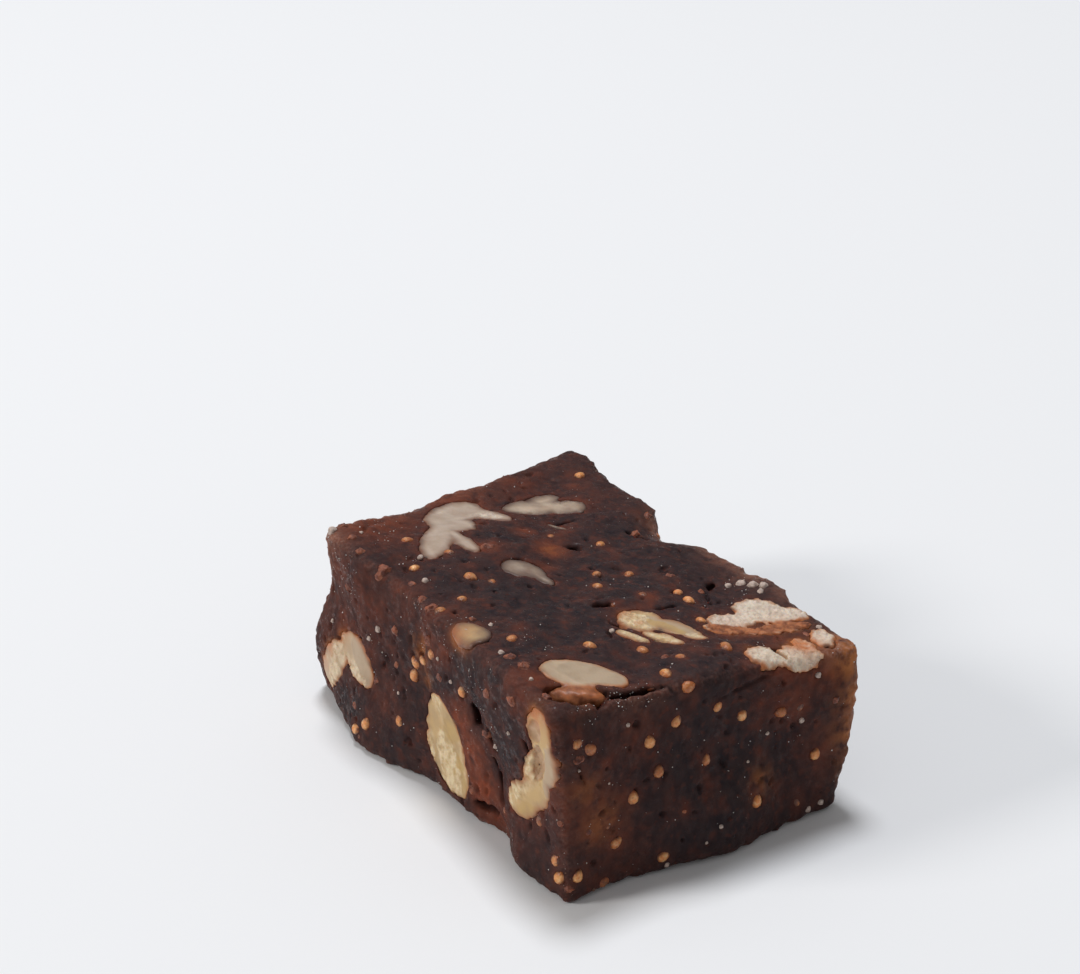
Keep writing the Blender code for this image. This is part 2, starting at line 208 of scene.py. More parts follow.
# Each piece: the face that it shows in, and its lobes: across, up, length, width, turn in degrees.
WALNUTS = {
    "walnut_far_corner": ("top", [(-19.6, -0.8, 9.0, 5.2, -75), (-13.8, -6.8, 10.4, 4.0, -44),
                                  (-17.6, 2.8, 6.4, 3.2, 20), (-12.4, -4.6, 7.6, 2.4, -4),
                                  (-17.0, -2.8, 6.0, 5.4, 37)]),
    "walnut_back_rim": ("top", [(-17.4, 8.8, 7.6, 4.8, 75), (-15.4, 11.8, 5.6, 4.0, 50),
                                (-18.6, 11.2, 4.2, 3.2, 90)]),
    "walnut_chip": ("top", [(-3.4, -2.4, 5.4, 4.0, 60), (-1.4, -1.6, 4.6, 2.2, 10)]),
    "walnut_middle": ("top", [(12.8, 1.2, 5.4, 5.0, 0), (16.2, 3.4, 7.2, 3.0, 18)]),
    "walnut_back_edge": ("top", [(17.2, 10.8, 7.4, 3.4, 78), (17.0, 14.4, 6.4, 5.0, 20),
                                 (19.0, 16.2, 5.2, 3.6, 75)]),
    "walnut_near_corner": ("top", [(25.4, 7.9, 4.2, 3.6, 70), (26.6, 11.4, 6.0, 3.6, 75)]),
    "walnut_corner_crumb": ("top", [(25.0, 16.2, 4.2, 2.8, -20)]),
    "walnut_front": ("top", [(19.0, -12.0, 7.4, 5.2, 58), (20.4, -10.1, 6.6, 4.0, 34)]),
    "walnut_side_edge": ("top", [(6.6, -16.2, 5.4, 3.9, -12)]),
    "walnut_foot": ("side", [(-20.0, 6.3, 10.8, 4.2, 55), (-14.4, 9.6, 8.2, 4.6, -22)]),
    "walnut_spindle": ("side", [(2.1, 7.0, 11.4, 6.8, -72), (3.8, 4.2, 6.4, 5.2, -35)]),
    "walnut_curl": ("side", [(22.3, 18.6, 7.0, 4.6, -85), (22.6, 15.4, 6.4, 4.6, 70),
                             (20.6, 11.3, 6.0, 4.4, 55), (17.7, 8.5, 7.2, 4.4, 30)]),
    "walnut_back_left": ("back", [(-15.0, 11.0, 9.0, 5.0, 35), (-11.4, 13.4, 5.4, 4.0, -15)]),
    "walnut_back_middle": ("back", [(4.0, 7.0, 9.6, 4.6, -28)]),
    "walnut_back_right": ("back", [(14.0, 10.0, 6.4, 4.8, 70), (15.6, 6.6, 5.0, 3.6, 20)]),
    "walnut_far_upper": ("far", [(-3.0, 13.0, 8.6, 5.0, 62), (-6.2, 10.6, 5.2, 3.8, 10)]),
    "walnut_far_lower": ("far", [(8.6, 7.4, 7.2, 4.2, -24)]),
    "walnut_base_far": ("base", [(-12.0, 5.0, 10.0, 5.6, 30), (-8.0, 2.4, 5.6, 4.2, -30)]),
    "walnut_base_near": ("base", [(11.0, -5.0, 8.8, 5.0, -50)]),
}

# How each was cut: how far it stands above the paste, then, from 0 to 1, how crumbly, how yellow and how far
# under a film of paste it is, and the side on which its brown skin shows, in degrees, and the skin's width.
CUT_LOOKS = {
    "walnut_far_corner": (0.02, 0.15, 0.0, 0.4, 60, 0.1),
    "walnut_back_rim": (0.0, 0.2, 0.15, 0.7, 200, 0.2),
    "walnut_chip": (-0.05, 0.05, 0.1, 0.9, 250, 0.0),
    "walnut_middle": (0.05, 0.3, 0.75, 0.25, 180, 0.25),
    "walnut_back_edge": (0.3, 1.0, 0.0, 0.0, -10, 0.0),
    "walnut_near_corner": (0.2, 1.0, 0.1, 0.03, 230, 0.2),
    "walnut_corner_crumb": (0.3, 1.0, 0.0, 0.05, 200, 0.0),
    "walnut_front": (0.10, 0.0, 0.3, 0.05, -60, 0.2),
    "walnut_side_edge": (0.25, 0.0, 0.75, 0.6, 240, 0.0),
    "walnut_foot": (0.0, 0.3, 0.45, 0.1, 130, 0.3),
    "walnut_spindle": (0.0, 0.3, 0.8, 0.0, 20, 0.15),
    "walnut_curl": (0.0, 0.2, 0.85, 0.2, 0, 0.2),
    "walnut_back_left": (0.05, 0.5, 0.3, 0.2, 60, 0.5),
    "walnut_back_middle": (0.0, 0.3, 0.6, 0.3, 200, 0.4),
    "walnut_back_right": (0.1, 0.7, 0.2, 0.1, 0, 0.3),
    "walnut_far_upper": (0.05, 0.5, 0.4, 0.2, 150, 0.5),
    "walnut_far_lower": (0.0, 0.3, 0.2, 0.5, 30, 0.0),
    "walnut_base_far": (0.0, 0.3, 0.3, 0.4, 90, 0.4),
    "walnut_base_near": (0.0, 0.3, 0.5, 0.4, 0, 0.4),
}

# The brown skin where it lies free beside the cut, and flakes that broke off, as further lobes: across, up,
# length, width, turn in degrees, and how far it is sunk.
SKIN_LOBES = {
    "walnut_back_edge": [(18.9, 8.6, 5.8, 2.2, 50, 0.0), (21.2, 13.6, 8.0, 2.3, 82, 0.0)],
    "walnut_front": [(21.5, -13.9, 6.4, 2.4, 50, 1.0)],
}
FLAKE_LOBES = {
    "walnut_middle": [(17.3, 0.9, 5.2, 2.0, 26, 0.0), (15.3, -1.7, 4.2, 1.8, 22, 0.0),
                      (18.9, 4.2, 2.2, 1.3, 38, 0.0)],
    "walnut_back_rim": [(-11.3, 8.0, 2.8, 0.9, 25, 0.0)],
    "walnut_near_corner": [(25.4, 13.5, 3.4, 2.2, 5, 0.0)],
    "walnut_curl": [(19.8, 14.0, 5.6, 1.9, 64, 0.0)],
}

# What broke out of a kernel: face, across, up, length, width, depth, turn.
KERNEL_HOLLOWS = {
    "walnut_curl": [("side", 21.4, 18.9, 3.4, 2.1, 0.7, 69), ("side", 21.3, 15.0, 5.6, 2.2, 0.8, 72)],
    "walnut_foot": [("side", -15.6, 5.2, 5.6, 2.4, 1.2, 25)],
    "walnut_middle": [("top", 16.0, -0.5, 5.0, 0.45, 0.7, 24), ("top", 16.4, 1.9, 4.6, 0.35, 0.5, 24)],
    "walnut_near_corner": [("top", 25.6, 9.7, 2.4, 0.7, 0.8, 10)],
}

# Marks on the cut: across, up, length, width, turn, how far they stand up, and their kind. Meal is crumbly
# and white, a plate is cut smooth, and oil is where the flesh is yellow and clear.
KERNEL_MARKS = {
    "walnut_spindle": [
        (3.2, 9.0, 4.0, 3.0, 60, -0.05, "oil"), (3.0, 5.0, 7.6, 3.8, -62, 0.12, "meal"),
        (-0.7, 5.2, 7.4, 1.4, -68, 0.12, "meal"), (5.6, 4.4, 5.0, 1.0, -60, 0.0, "oil"),
    ],
    "walnut_curl": [
        (19.2, 13.0, 4.0, 1.1, 62, 0.1, "meal"), (23.6, 15.0, 8.0, 2.8, 72, 0.0, "plate"),
        (19.0, 7.6, 5.0, 2.2, 28, 0.0, "oil"), (14.8, 7.2, 3.0, 1.8, -60, 0.15, "meal"),
        (17.2, 9.2, 3.0, 1.0, 60, 0.14, "meal"),
    ],
    "walnut_foot": [
        (-13.0, 9.8, 6.6, 3.2, -30, 0.04, "plate"), (-13.8, 7.9, 4.0, 1.5, -3, 0.16, "meal"),
        (-19.6, 5.4, 4.4, 2.2, 50, 0.12, "meal"), (-18.8, 8.8, 4.4, 1.5, 60, 0.08, "meal"),
    ],
    "walnut_front": [(20.0, -10.6, 7.4, 4.2, 42, 0.0, "plate")],
    "walnut_middle": [
        (12.0, 0.3, 4.2, 3.8, 70, 0.12, "meal"), (15.6, 3.0, 7.0, 2.8, 20, -0.04, "plate"),
        (15.4, 2.6, 5.0, 1.6, 20, 0.0, "oil"),
    ],
    "walnut_near_corner": [
        (25.3, 7.4, 3.2, 3.2, 0, 0.1, "meal"), (27.3, 10.6, 3.8, 1.8, 80, 0.12, "meal"),
        (26.2, 14.0, 2.6, 1.6, 0, 0.15, "meal"),
    ],
}

# Where light comes through thin orange paste on a kernel: x, y, z, radius, strength.
WALNUT_GLOWS = [
    (21.8, -17.4, 21.4, 1.7, 1.7),  # top of the curl
    (18.8, -17, 12.2, 1.0, 0.9),
    (25.0, -17, 16.6, 0.9, 0.9),
    (24.6, -17, 13.6, 0.8, 0.8),
    (-18.5, -18, 11.6, 1.5, 0.9),  # tip of the foot
    (-20.6, -18, 8.6, 1.2, 0.8),
    (-22.4, -18, 5.5, 1.4, 0.7),
    (-16.1, -18.6, 7.6, 0.6, 0.5),
    (5.0, -17.4, 20.6, 2.2, 0.9),  # the one at the edge
    (8.2, -17.9, 20.4, 1.6, 0.7),
    (25.2, 13.3, 21, 2.2, 1.2),  # clear flesh at the near corner
    (27.6, 14.6, 20.6, 1.3, 0.6),
    (23.4, 7.0, 21, 1.0, 0.5),
    (19.4, 9.4, 21, 2.6, 0.45),  # the skin at the back edge
    (21.4, 14.4, 21, 2.8, 0.35),
    (11.0, 0.6, 21, 1.0, 0.5),
    (13.2, 0.6, 21, 0.6, 0.6),
    (22.6, -12.6, 20.4, 1.4, 0.6),  # under the one at the front
    (19.0, -16.2, 20.8, 1.2, 0.6),
]

FLESH = (0.54, 0.430, 0.345)
FLESH_YELLOW = (0.56, 0.360, 0.130)
FLESH_BROKEN = (0.70, 0.585, 0.475)
FLESH_BROKEN_YELLOW = (0.76, 0.600, 0.360)
FLESH_PLATE = (0.45, 0.340, 0.235)
FLESH_OIL = (0.50, 0.320, 0.110)
FLESH_GREY = (0.30, 0.200, 0.130)
FLESH_HOLLOW = (0.43, 0.265, 0.150)
FLESH_HOLLOW_PALE = (0.56, 0.375, 0.235)
KERNEL_SKIN = (0.17, 0.052, 0.022)
KERNEL_SKIN_LIGHT = (0.42, 0.150, 0.062)
PASTE_STAIN = (0.21, 0.128, 0.096)
PASTE_COVER = (0.070, 0.034, 0.026)
EDGE_TAN = (0.42, 0.220, 0.110)
EDGE_ORANGE = (0.42, 0.130, 0.040)
PASTE_GLOW = (0.50, 0.165, 0.058)


def grid_points(low, shape, step):
    """The places of a grid's points, as one long list."""
    return low + step * np.stack(np.meshgrid(*map(np.arange, shape), indexing="ij"), axis=-1).reshape(-1, 3)


def finer(field, times):
    """The field on a grid that is so many times finer, along straight lines between its points."""
    for axis in range(3):
        at = np.arange((field.shape[axis] - 1) * times + 1) / times
        low = np.minimum(at.astype(int), field.shape[axis] - 2)
        share = (at - low).reshape([-1 if a == axis else 1 for a in range(3)])
        field = np.take(field, low, axis) * (1 - share) + np.take(field, low + 1, axis) * share
    return field


def block_field(low, high, step, times=3):
    """The block's distance field on a grid between two corners."""
    shape = [math.ceil((b - a) / (step * times)) + 1 for a, b in zip(low, high)]
    return finer(block_distance(grid_points(low, shape, step * times)).reshape(shape), times)


def soft_max(a, b, softness):
    near = np.maximum(softness - np.abs(a - b), 0) / softness
    return np.maximum(a, b) + near * near * softness / 4


def ball_distance(points, centre, axes, sizes):
    """About how far the points lie from a ball that is stretched along its axes to these sizes."""
    half = np.array(sizes) / 2
    across = (points - centre) @ axes.T / half
    outer = np.linalg.norm(across, axis=1)
    return outer * (outer - 1) / (np.linalg.norm(across / half, axis=1) + 1e-9)


def ripple(points, given):
    """A sum of waves, about 1 high."""
    total = np.zeros(len(points))
    for vector, phase in zip(*given):
        total += np.sin(points @ vector + phase)
    return total / math.sqrt(len(given[1]) / 2)


def grains(points, size, seed):
    """How far each point is from the nearest of many scattered centres, in grain sizes."""
    cell = np.floor(points / size).astype(np.int64)
    best = np.full(len(points), 9.0)
    for shift in itertools.product((-1, 0, 1), repeat=3):
        there = cell + shift
        mark = (there * (73856093, 19349663, 83492791)).sum(axis=1) + seed
        apart = np.zeros(len(points))
        for axis in range(3):
            mark = (mark * 1103515245 + 12345) & 0x7FFFFFFF
            apart += (there[:, axis] + mark / 0x80000000 - points[:, axis] / size) ** 2
        best = np.minimum(best, apart)
    return np.sqrt(best)


def drawn(name, field, low, step):
    """The mesh of the surface where a field is 0."""
    grid = openvdb.FloatGrid(float(field.max()))
    grid.copyFromArray(np.ascontiguousarray(field, np.float32))
    corners, quads = grid.convertToQuads(0.0)
    mesh = bpy.data.meshes.new(name)
    mesh.from_pydata(((low + corners * step) * MM).tolist(), [], quads.tolist())
    mesh.shade_smooth()
    return mesh


def places_of(mesh):
    """The mesh's vertices, in mm."""
    flat = np.empty(len(mesh.vertices) * 3, np.float32)
    mesh.vertices.foreach_get("co", flat)
    return flat.reshape(-1, 3).astype(float) / MM


def give(mesh, name, values):
    """Stores one number for each vertex, for the material to read."""
    mesh.attributes.new(name, "FLOAT", "POINT").data.foreach_set("value", values.astype(np.float32))


def kernel_lobes(name):
    face, lobes = WALNUTS[name]
    return [(*laid_in(face, across, up, turn), (length, width, LOBE_DEPTH * width))
            for across, up, length, width, turn in lobes]


KERNEL_LOBES = {name: kernel_lobes(name) for name in WALNUTS}


def free_lobes(given):
    """The free skins or flakes as balls."""
    return {name: [(*laid_in(WALNUTS[name][0], across, up, turn, sink), (length, width, width))
                   for across, up, length, width, turn, sink in lobes] for name, lobes in given.items()}


FREE_SKINS = free_lobes(SKIN_LOBES)
FLAKES = free_lobes(FLAKE_LOBES)


def kernel_distance(points, name):
    """Signed distance to a whole kernel piece, before the knife."""
    whole = np.full(len(points), 99.0)
    for lobe in KERNEL_LOBES[name] + FREE_SKINS.get(name, []):
        whole = -soft_max(-whole, -ball_distance(points, *lobe), KERNEL_BLEND)
    for lobe in FLAKES.get(name, ()):
        whole = np.minimum(whole, ball_distance(points, *lobe))
    rough = OUTLINE_ROUGH * (1 + 2 * CUT_LOOKS[name][1])
    return whole + rough * ripple(points, OUTLINE_WAVES)


def glow_at(places, spots):
    """How strongly light comes through at each place, from spots of x, y, z, radius and strength."""
    glow = np.zeros(len(places))
    for x, y, z, radius, strength in spots:
        glow = np.maximum(glow, strength * np.exp(-((places - (x, y, z)) ** 2).sum(axis=1) / radius**2))
    return glow


def kernel_room(name, margin):
    """The lowest and the highest corner of the space round a kernel piece."""
    lobes = KERNEL_LOBES[name] + FREE_SKINS.get(name, []) + FLAKES.get(name, [])
    centres = np.array([lobe[0] for lobe in lobes])
    reach = np.array([lobe[2][0] for lobe in lobes])[:, None] / 2 + margin
    return (centres - reach).min(axis=0), (centres + reach).max(axis=0)


def marked(places, name, kind):
    """How much of a kernel's marks of one kind lies at each place, from 0 to 1, and how far it stands up."""
    there, stand = np.zeros(len(places)), np.zeros(len(places))
    for across, up, length, width, turn, lift, sort in KERNEL_MARKS.get(name, ()):
        if sort == kind:
            place = laid_in(WALNUTS[name][0], across, up, turn)
            beyond = ball_distance(places, *place, (length, width, MARK_DEPTH))
            beyond = beyond + MARK_UNEVEN * ripple(places, OUTLINE_WAVES)
            within = np.clip(0.5 - beyond / MARK_FADE, 0, 1)
            there = np.maximum(there, within)
            stand += lift * within
    return there, stand


def crumbled(places, name):
    """How broken and white the flesh is at each place, from 0 to 1."""
    meal, plate, oil = (marked(places, name, kind)[0] for kind in ("meal", "plate", "oil"))
    rough = np.clip(0.7 * ripple(places, CRUMB_PATCHES) + 2.2 * CUT_LOOKS[name][1] - 0.6, 0, 1)
    return np.maximum(rough * (1 - plate), meal) * (1 - 0.8 * oil)


def hollow_distances(points, name):
    """Signed distances to whatever broke out of a kernel."""
    for face, across, up, length, width, depth, turn in KERNEL_HOLLOWS.get(name, ()):
        hollow = ball_distance(points, *laid_in(face, across, up, turn), (length, width, 2 * depth))
        yield hollow + HOLLOW_UNEVEN * ripple(points, OUTLINE_WAVES)


def ramp(values, start, width):
    """0 up to a start, and 1 from a width further on."""
    return np.clip((values - start) / width, 0, 1)


def kernel_form(name):
    """A kernel piece: its lobes cut by the knife, crumbled and hollowed."""
    proud = CUT_LOOKS[name][0]
    low, high = kernel_room(name, KERNEL_MARGIN)
    block = block_field(low, high, KERNEL_STEP)
    shape = block.shape
    block = block.reshape(-1)
    points = grid_points(low, shape, KERNEL_STEP)
    whole = kernel_distance(points, name)
    near = (np.abs(block - proud) < CRUMB_BAND[0]) & (whole < CRUMB_BAND[1])
    lift = np.full(len(points), proud)
    close = points[near]
    lumps = 0.55 * grains(close, CRUMB_GRAIN, 5) + 0.45 * grains(close, CRUMB_GRAIN / 2, 6)
    lift[near] += crumbled(close, name) * CRUMB_DEPTH * (0.6 - 1.7 * lumps) - CUT_SINK
    for kind in ("meal", "plate", "oil"):
        lift[near] += marked(close, name, kind)[1]
    if WALNUTS[name][0] == "base":
        lift = np.zeros(len(points))
    field = soft_max(whole, block - lift, KNIFE_ROUND)
    for hollow in hollow_distances(points, name):
        field = soft_max(field, -hollow, HOLLOW_ROUND)
    return drawn(name.replace("walnut", "kernel"), field.reshape(shape), low, KERNEL_STEP)


def kernel_mesh(name):
    """A kernel piece with what its finish reads."""
    _, _, yellow, film, skin_turn, skin_width = CUT_LOOKS[name]
    mesh = kernel_form(name)
    places = places_of(mesh)
    sunk = -block_distance(places)
    outline = kernel_distance(places, name)
    centre = np.mean([lobe[0] for lobe in KERNEL_LOBES[name]], axis=0)
    face = WALNUTS[name][0]
    _, axes = laid_in(face, *[centre[axis] for axis in FACE_AXES[face]], skin_turn)
    # The thin skin lines the side of the outline that its turn points to, and is missing in places.
    towards, sideways = (places - centre) @ axes[0], (places - centre) @ axes[1]
    facing = np.clip(1.6 * towards / (np.hypot(towards, sideways) + 0.3), 0, 1)
    skin = np.clip((skin_width * facing + outline) / SKIN_FADE, 0, 1) * (skin_width > 0)
    skin *= SKIN_LEAST + (1 - SKIN_LEAST) * np.clip(0.5 + ripple(places, OUTLINE_WAVES), 0, 1)
    for lobe in FREE_SKINS.get(name, ()):
        skin = np.maximum(skin, np.clip(0.5 - ball_distance(places, *lobe) / MARK_FADE, 0, 1))
    white = crumbled(places, name)
    for lobe in FLAKES.get(name, ()):
        white = np.maximum(white, ball_distance(places, *lobe) < FLAKE_MARGIN)
    hollowed = np.zeros(len(places))
    for hollow in hollow_distances(places, name):
        hollowed = np.maximum(hollowed, np.clip(1.2 - hollow / SKIN_FADE, 0, 1))
    give(mesh, "skin", skin)
    give(mesh, "under", ramp(sunk, *UNDER_SKIN) * np.clip(1.3 + outline, 0, 1) * (hollowed < 0.5))
    give(mesh, "hollow", hollowed * ramp(sunk, *IN_HOLLOW))
    give(mesh, "glow", glow_at(places, WALNUT_GLOWS))
    stain_width = STAIN_WIDTH[0] + film * (STAIN_WIDTH[1] - STAIN_WIDTH[0])
    give(mesh, "stain", np.clip(1 + outline / stain_width, 0, 1))
    give(mesh, "broken", white)
    for kind in ("plate", "oil"):
        give(mesh, kind, marked(places, name, kind)[0])
    for key, share in (("yellow", yellow), ("film", film)):
        give(mesh, key, np.full(len(places), share))
    return mesh


def fill_in(tree, node, inputs):
    """Sets inputs of a node to values, or links them to other nodes' outputs."""
    for key, value in inputs.items():
        if isinstance(value, bpy.types.NodeSocket):
            tree.links.new(value, node.inputs[key])
        else:
            node.inputs[key].default_value = value


def put(tree, kind, inputs=(), **settings):
    """A new node with its settings and inputs."""
    node = tree.nodes.new(kind)
    for key, value in settings.items():
        setattr(node, key, value)
    fill_in(tree, node, dict(inputs))
    return node


def mixed(tree, share, first, second):
    """Two colours mixed by a share from 0 to 1."""
    first, second = ((*c, 1.0) if isinstance(c, tuple) else c for c in (first, second))
    return put(tree, "ShaderNodeMix", {0: share, 6: first, 7: second}, data_type="RGBA").outputs[2]


def layered(tree, colour, layers):
    """A colour with others laid over it, each by a share from 0 to 1."""
    for share, over in layers:
        colour = mixed(tree, share, colour, over)
    return colour


def sums(tree, how, first, second, clamp=True):
    """The sum or other working of two numbers, kept between 0 and 1 unless it may run free."""
    return put(tree, "ShaderNodeMath", {0: first, 1: second}, operation=how, use_clamp=clamp).outputs[0]


def product(tree, first, second):
    """The product of two numbers, kept between 0 and 1."""
    return sums(tree, "MULTIPLY", first, second)


def times(tree, first, second):
    """Their product, whatever it is."""
    return sums(tree, "MULTIPLY", first, second, clamp=False)


def read(tree, name):
    """A number that the mesh stores for each vertex."""
    return put(tree, "ShaderNodeAttribute", attribute_name=name).outputs["Fac"]


def noise(tree, place, size, detail):
    return put(tree, "ShaderNodeTexNoise", {"Vector": place, "Scale": 1 / size, "Detail": detail}).outputs[0]


def spread(tree, value, low, high):
    """A number spread so that low turns into 0 and high into 1."""
    return put(tree, "ShaderNodeMapRange", {0: value, 1: low, 2: high}).outputs[0]


def patches(tree, place, size, low, high, detail=2.0):
    """Noise with patches of a size in mm, spread in the same way."""
    return spread(tree, noise(tree, place, size, detail), low, high)


def between(tree, share, low, high):
    """A number that goes from low to high as a share goes from 0 to 1."""
    return put(tree, "ShaderNodeMapRange", {0: share, 3: low, 4: high}).outputs[0]


def new_finish(name):
    """A material, its tree, and the place on the piece in mm."""
    material = bpy.data.materials.new(name)
    material.use_nodes = True
    tree = material.node_tree
    where = put(tree, "ShaderNodeTexCoord").outputs["Object"]
    place = put(tree, "ShaderNodeMapping", {0: where, 3: (1 / MM,) * 3}).outputs[0]
    return material, tree, place


def finished(material, colour, dull, normal, *, light, tint, reach, shine=0.5):
    """Sets a finish: its colour, dullness, grain and shine, and how light spreads in it, so far in mm."""
    tree = material.node_tree
    fill_in(tree, tree.nodes["Principled BSDF"], {
        "Base Color": colour,
        "Roughness": dull,
        "Normal": normal,
        "Subsurface Weight": light,
        "Subsurface Radius": tint,
        "Subsurface Scale": reach * MM,
        "Specular IOR Level": shine,
    })
    return material


def bumped(tree, height, depth):
    """The tilt that a height gives to a surface, where 1 stands for a depth in mm."""
    return put(tree, "ShaderNodeBump", {"Height": height, "Distance": depth * MM, "Strength": 1.0}).outputs[0]


def bumps(tree, place, coarse, fine, depth):
    """The tilt that two sizes of grain give to a surface, in mm."""
    both = sums(tree, "ADD", noise(tree, place, coarse, 3.0), noise(tree, place, fine, 2.0), clamp=False)
    return bumped(tree, both, depth)


def walnut_flesh():
    """Cream to yellow flesh, greyer and under a film of paste in places, orange and brown at its outline."""
    material, tree, place = new_finish("walnut_flesh")
    yellow, broken, stain = (read(tree, name) for name in ("yellow", "broken", "stain"))
    film = product(tree, read(tree, "film"), patches(tree, place, 2.2, 0.40, 0.75, 4.0))
    soft = product(tree, sums(tree, "POWER", stain, 2.2), patches(tree, place, 1.5, 0.22, 0.55, 4.0))
    veiled = spread(tree, read(tree, "film"), 0.1, 0.5)
    border = mixed(tree, patches(tree, place, 1.6, 0.30, 0.50), PASTE_COVER, EDGE_ORANGE)
    flesh = layered(tree, mixed(tree, yellow, FLESH, FLESH_YELLOW), (
        (product(tree, read(tree, "plate"), 0.8), FLESH_PLATE),
        (product(tree, read(tree, "oil"), 0.7), FLESH_OIL),
        (product(tree, patches(tree, place, 1.8, 0.42, 0.72, 4.0), 0.45), FLESH_GREY),
        (product(tree, broken, patches(tree, place, 0.8, 0.3, 0.6, 4.0)),
         mixed(tree, yellow, FLESH_BROKEN, FLESH_BROKEN_YELLOW)),
        (sums(tree, "MAXIMUM", film, soft), mixed(tree, veiled, EDGE_TAN, PASTE_STAIN)),
        (sums(tree, "POWER", stain, 2.4), mixed(tree, veiled, border, PASTE_COVER)),
        (read(tree, "hollow"),
         mixed(tree, patches(tree, place, 1.0, 0.35, 0.65, 3.0), FLESH_HOLLOW, FLESH_HOLLOW_PALE)),
        (product(tree, read(tree, "glow"), patches(tree, place, 1.0, 0.1, 0.5)), PASTE_GLOW),
        (sums(tree, "MAXIMUM", read(tree, "skin"), read(tree, "under")),
         mixed(tree, patches(tree, place, 0.9, 0.35, 0.65), KERNEL_SKIN, KERNEL_SKIN_LIGHT)),
    ))
    grain = times(tree, noise(tree, place, 0.28, 3.0), between(tree, broken, 0.15, 1.0))
    return finished(material, flesh, between(tree, broken, 0.42, 0.75), bumped(tree, grain, 0.14),
                    light=0.4, tint=(1.0, 0.6, 0.35), reach=0.9, shine=0.3)


def linked(name, data):
    """A new thing in the scene."""
    thing = bpy.data.objects.new(name, data)
    bpy.context.scene.collection.objects.link(thing)
    return thing


def show(name, mesh, material, slot, *nodes):
    """Puts a piece of the block in place: its mesh, finish and the solids that it stands for. The slot is not
    used.
    """
    mesh.materials.clear()
    mesh.materials.append(material)
    piece = linked(name, mesh)
    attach(piece, "root")
    if nodes:
        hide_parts(*nodes)
    return piece


flesh_finish = walnut_flesh()
for walnut in WALNUTS:
    kernel = kernel_mesh(walnut)
    show(kernel.name, kernel, flesh_finish, "walnut", walnut)

# The fig paste.
# One dark mass of boiled figs that grips every walnut. The knife leaves it satin and faintly streaked, with
# pits and tears, a frayed and paler rim along each cut edge, and a warm glow where it is thin over a kernel.

PASTE_STEP = 0.2  # the grid that its surface is drawn from
PASTE_ROOM = ((-31.0, -23.0, -0.6), (32.0, 23.0, 24.5))  # that grid's lowest and highest corner
PASTE_TRIANGLES = 190000
PASTE_BAND = 0.9  # how near the surface the paste is roughened
GRIP = 0.06  # how far the paste closes over a kernel's outline
GRIP_UNEVEN = 0.05
GRIP_ROOM = 1.0  # the room round a kernel in which the paste gives way to it
LIP = 0.05  # softness of the lip round a kernel
FINE_WAVES = waves(31, 16, 4.2, 0.9)
FINE_HEIGHT = 0.03
LUMP_SIZE = 1.9
LUMP_HEIGHT = 0.22
LUMP_LEVEL = 0.35  # the part of a lump's height that stands out of the cut
FRAY_WAVES = waves(32, 12, 2.4, 0.7)
FRAY_HEIGHT = 0.11
FRAY_WIDTH = 0.9  # how far in from a cut edge the paste is frayed
TEAR_ROUND = 0.35  # the round at the rim of a tear
HALO_WIDTH = 0.7  # how far light spreads in the paste round a kernel
SEED_HALO_WIDTH = 0.5  # and round a seed
EDGE_GLOW_WIDTH = 1.6  # and from a cut edge
TAN_WIDTH = 1.5  # how far in from a cut edge a tan film reaches
FROST_WIDTH = 0.6  # and frost and dust
FRINGE_WIDTH = 0.25  # and loose frays
PIT_ROUND = 0.12
PIT_UNEVEN = 0.04
PIT_DEPTH = 0.6  # of a pit's width

# Tears and pits, each an ellipsoid sunk in a face: face, across, up, length, width, depth, turn in degrees.
HOLLOWS = [
    ("top", 22.3, -14.2, 6.4, 3.3, 2.2, 64),
    ("top", 24.5, -9.4, 6.8, 0.7, 1.2, 86),
    ("side", 8.6, 14.0, 3.0, 2.0, 1.8, -55),
    ("side", 11.9, 12.4, 3.2, 1.8, 1.8, -62),
    ("side", 9.9, 2.7, 4.2, 1.3, 1.4, 12),
    ("top", 8.2, -0.2, 2.4, 1.3, 1.4, 60),
    ("top", -6.1, 6.3, 1.6, 1.3, 1.4, 0),
    ("back", -4.0, 9.0, 6.0, 1.6, 2.4, 50),
    ("far", -9.0, 6.0, 4.0, 1.5, 2.0, -40),
]

# Finer tears, given in the same way as the ones above.
TEARS = [
    ("top", 23.2, -14.9, 6.4, 0.9, 1.8, 62), ("top", 24.9, -6.4, 4.0, 0.4, 0.7, 78),
    ("top", 26.2, -10.6, 3.4, 0.35, 0.4, 96), ("top", 9.2, 13.9, 2.4, 0.9, 1.0, -50),
    ("top", 11.6, 11.6, 2.6, 0.6, 0.8, -30), ("top", 11.6, 5.6, 3.0, 0.5, 0.7, 80),
    ("top", 12.6, -1.6, 2.2, 0.7, 0.9, 20), ("top", -5.0, 14.8, 3.0, 0.9, 1.0, 30),
    ("top", 13.9, -3.6, 1.6, 0.6, 0.8, -20), ("top", -12.0, 9.2, 3.0, 0.6, 0.7, 75),
    ("side", 12.4, 7.4, 6.0, 0.5, 0.6, -66), ("side", -25.2, 14.8, 2.6, 0.7, 1.0, -86),
    ("side", -21.4, 15.6, 2.0, 0.6, 0.8, -84), ("side", 19.4, 16.0, 2.6, 0.7, 1.0, -60),
    ("near", -16.0, 15.0, 3.0, 0.4, 0.6, -70), ("near", 4.0, 19.0, 6.0, 0.35, 0.4, 8),
]
HOLLOW_WAVES = waves(33, 10, 2.6, 0.9)
HOLLOW_ROUGH = 0.16

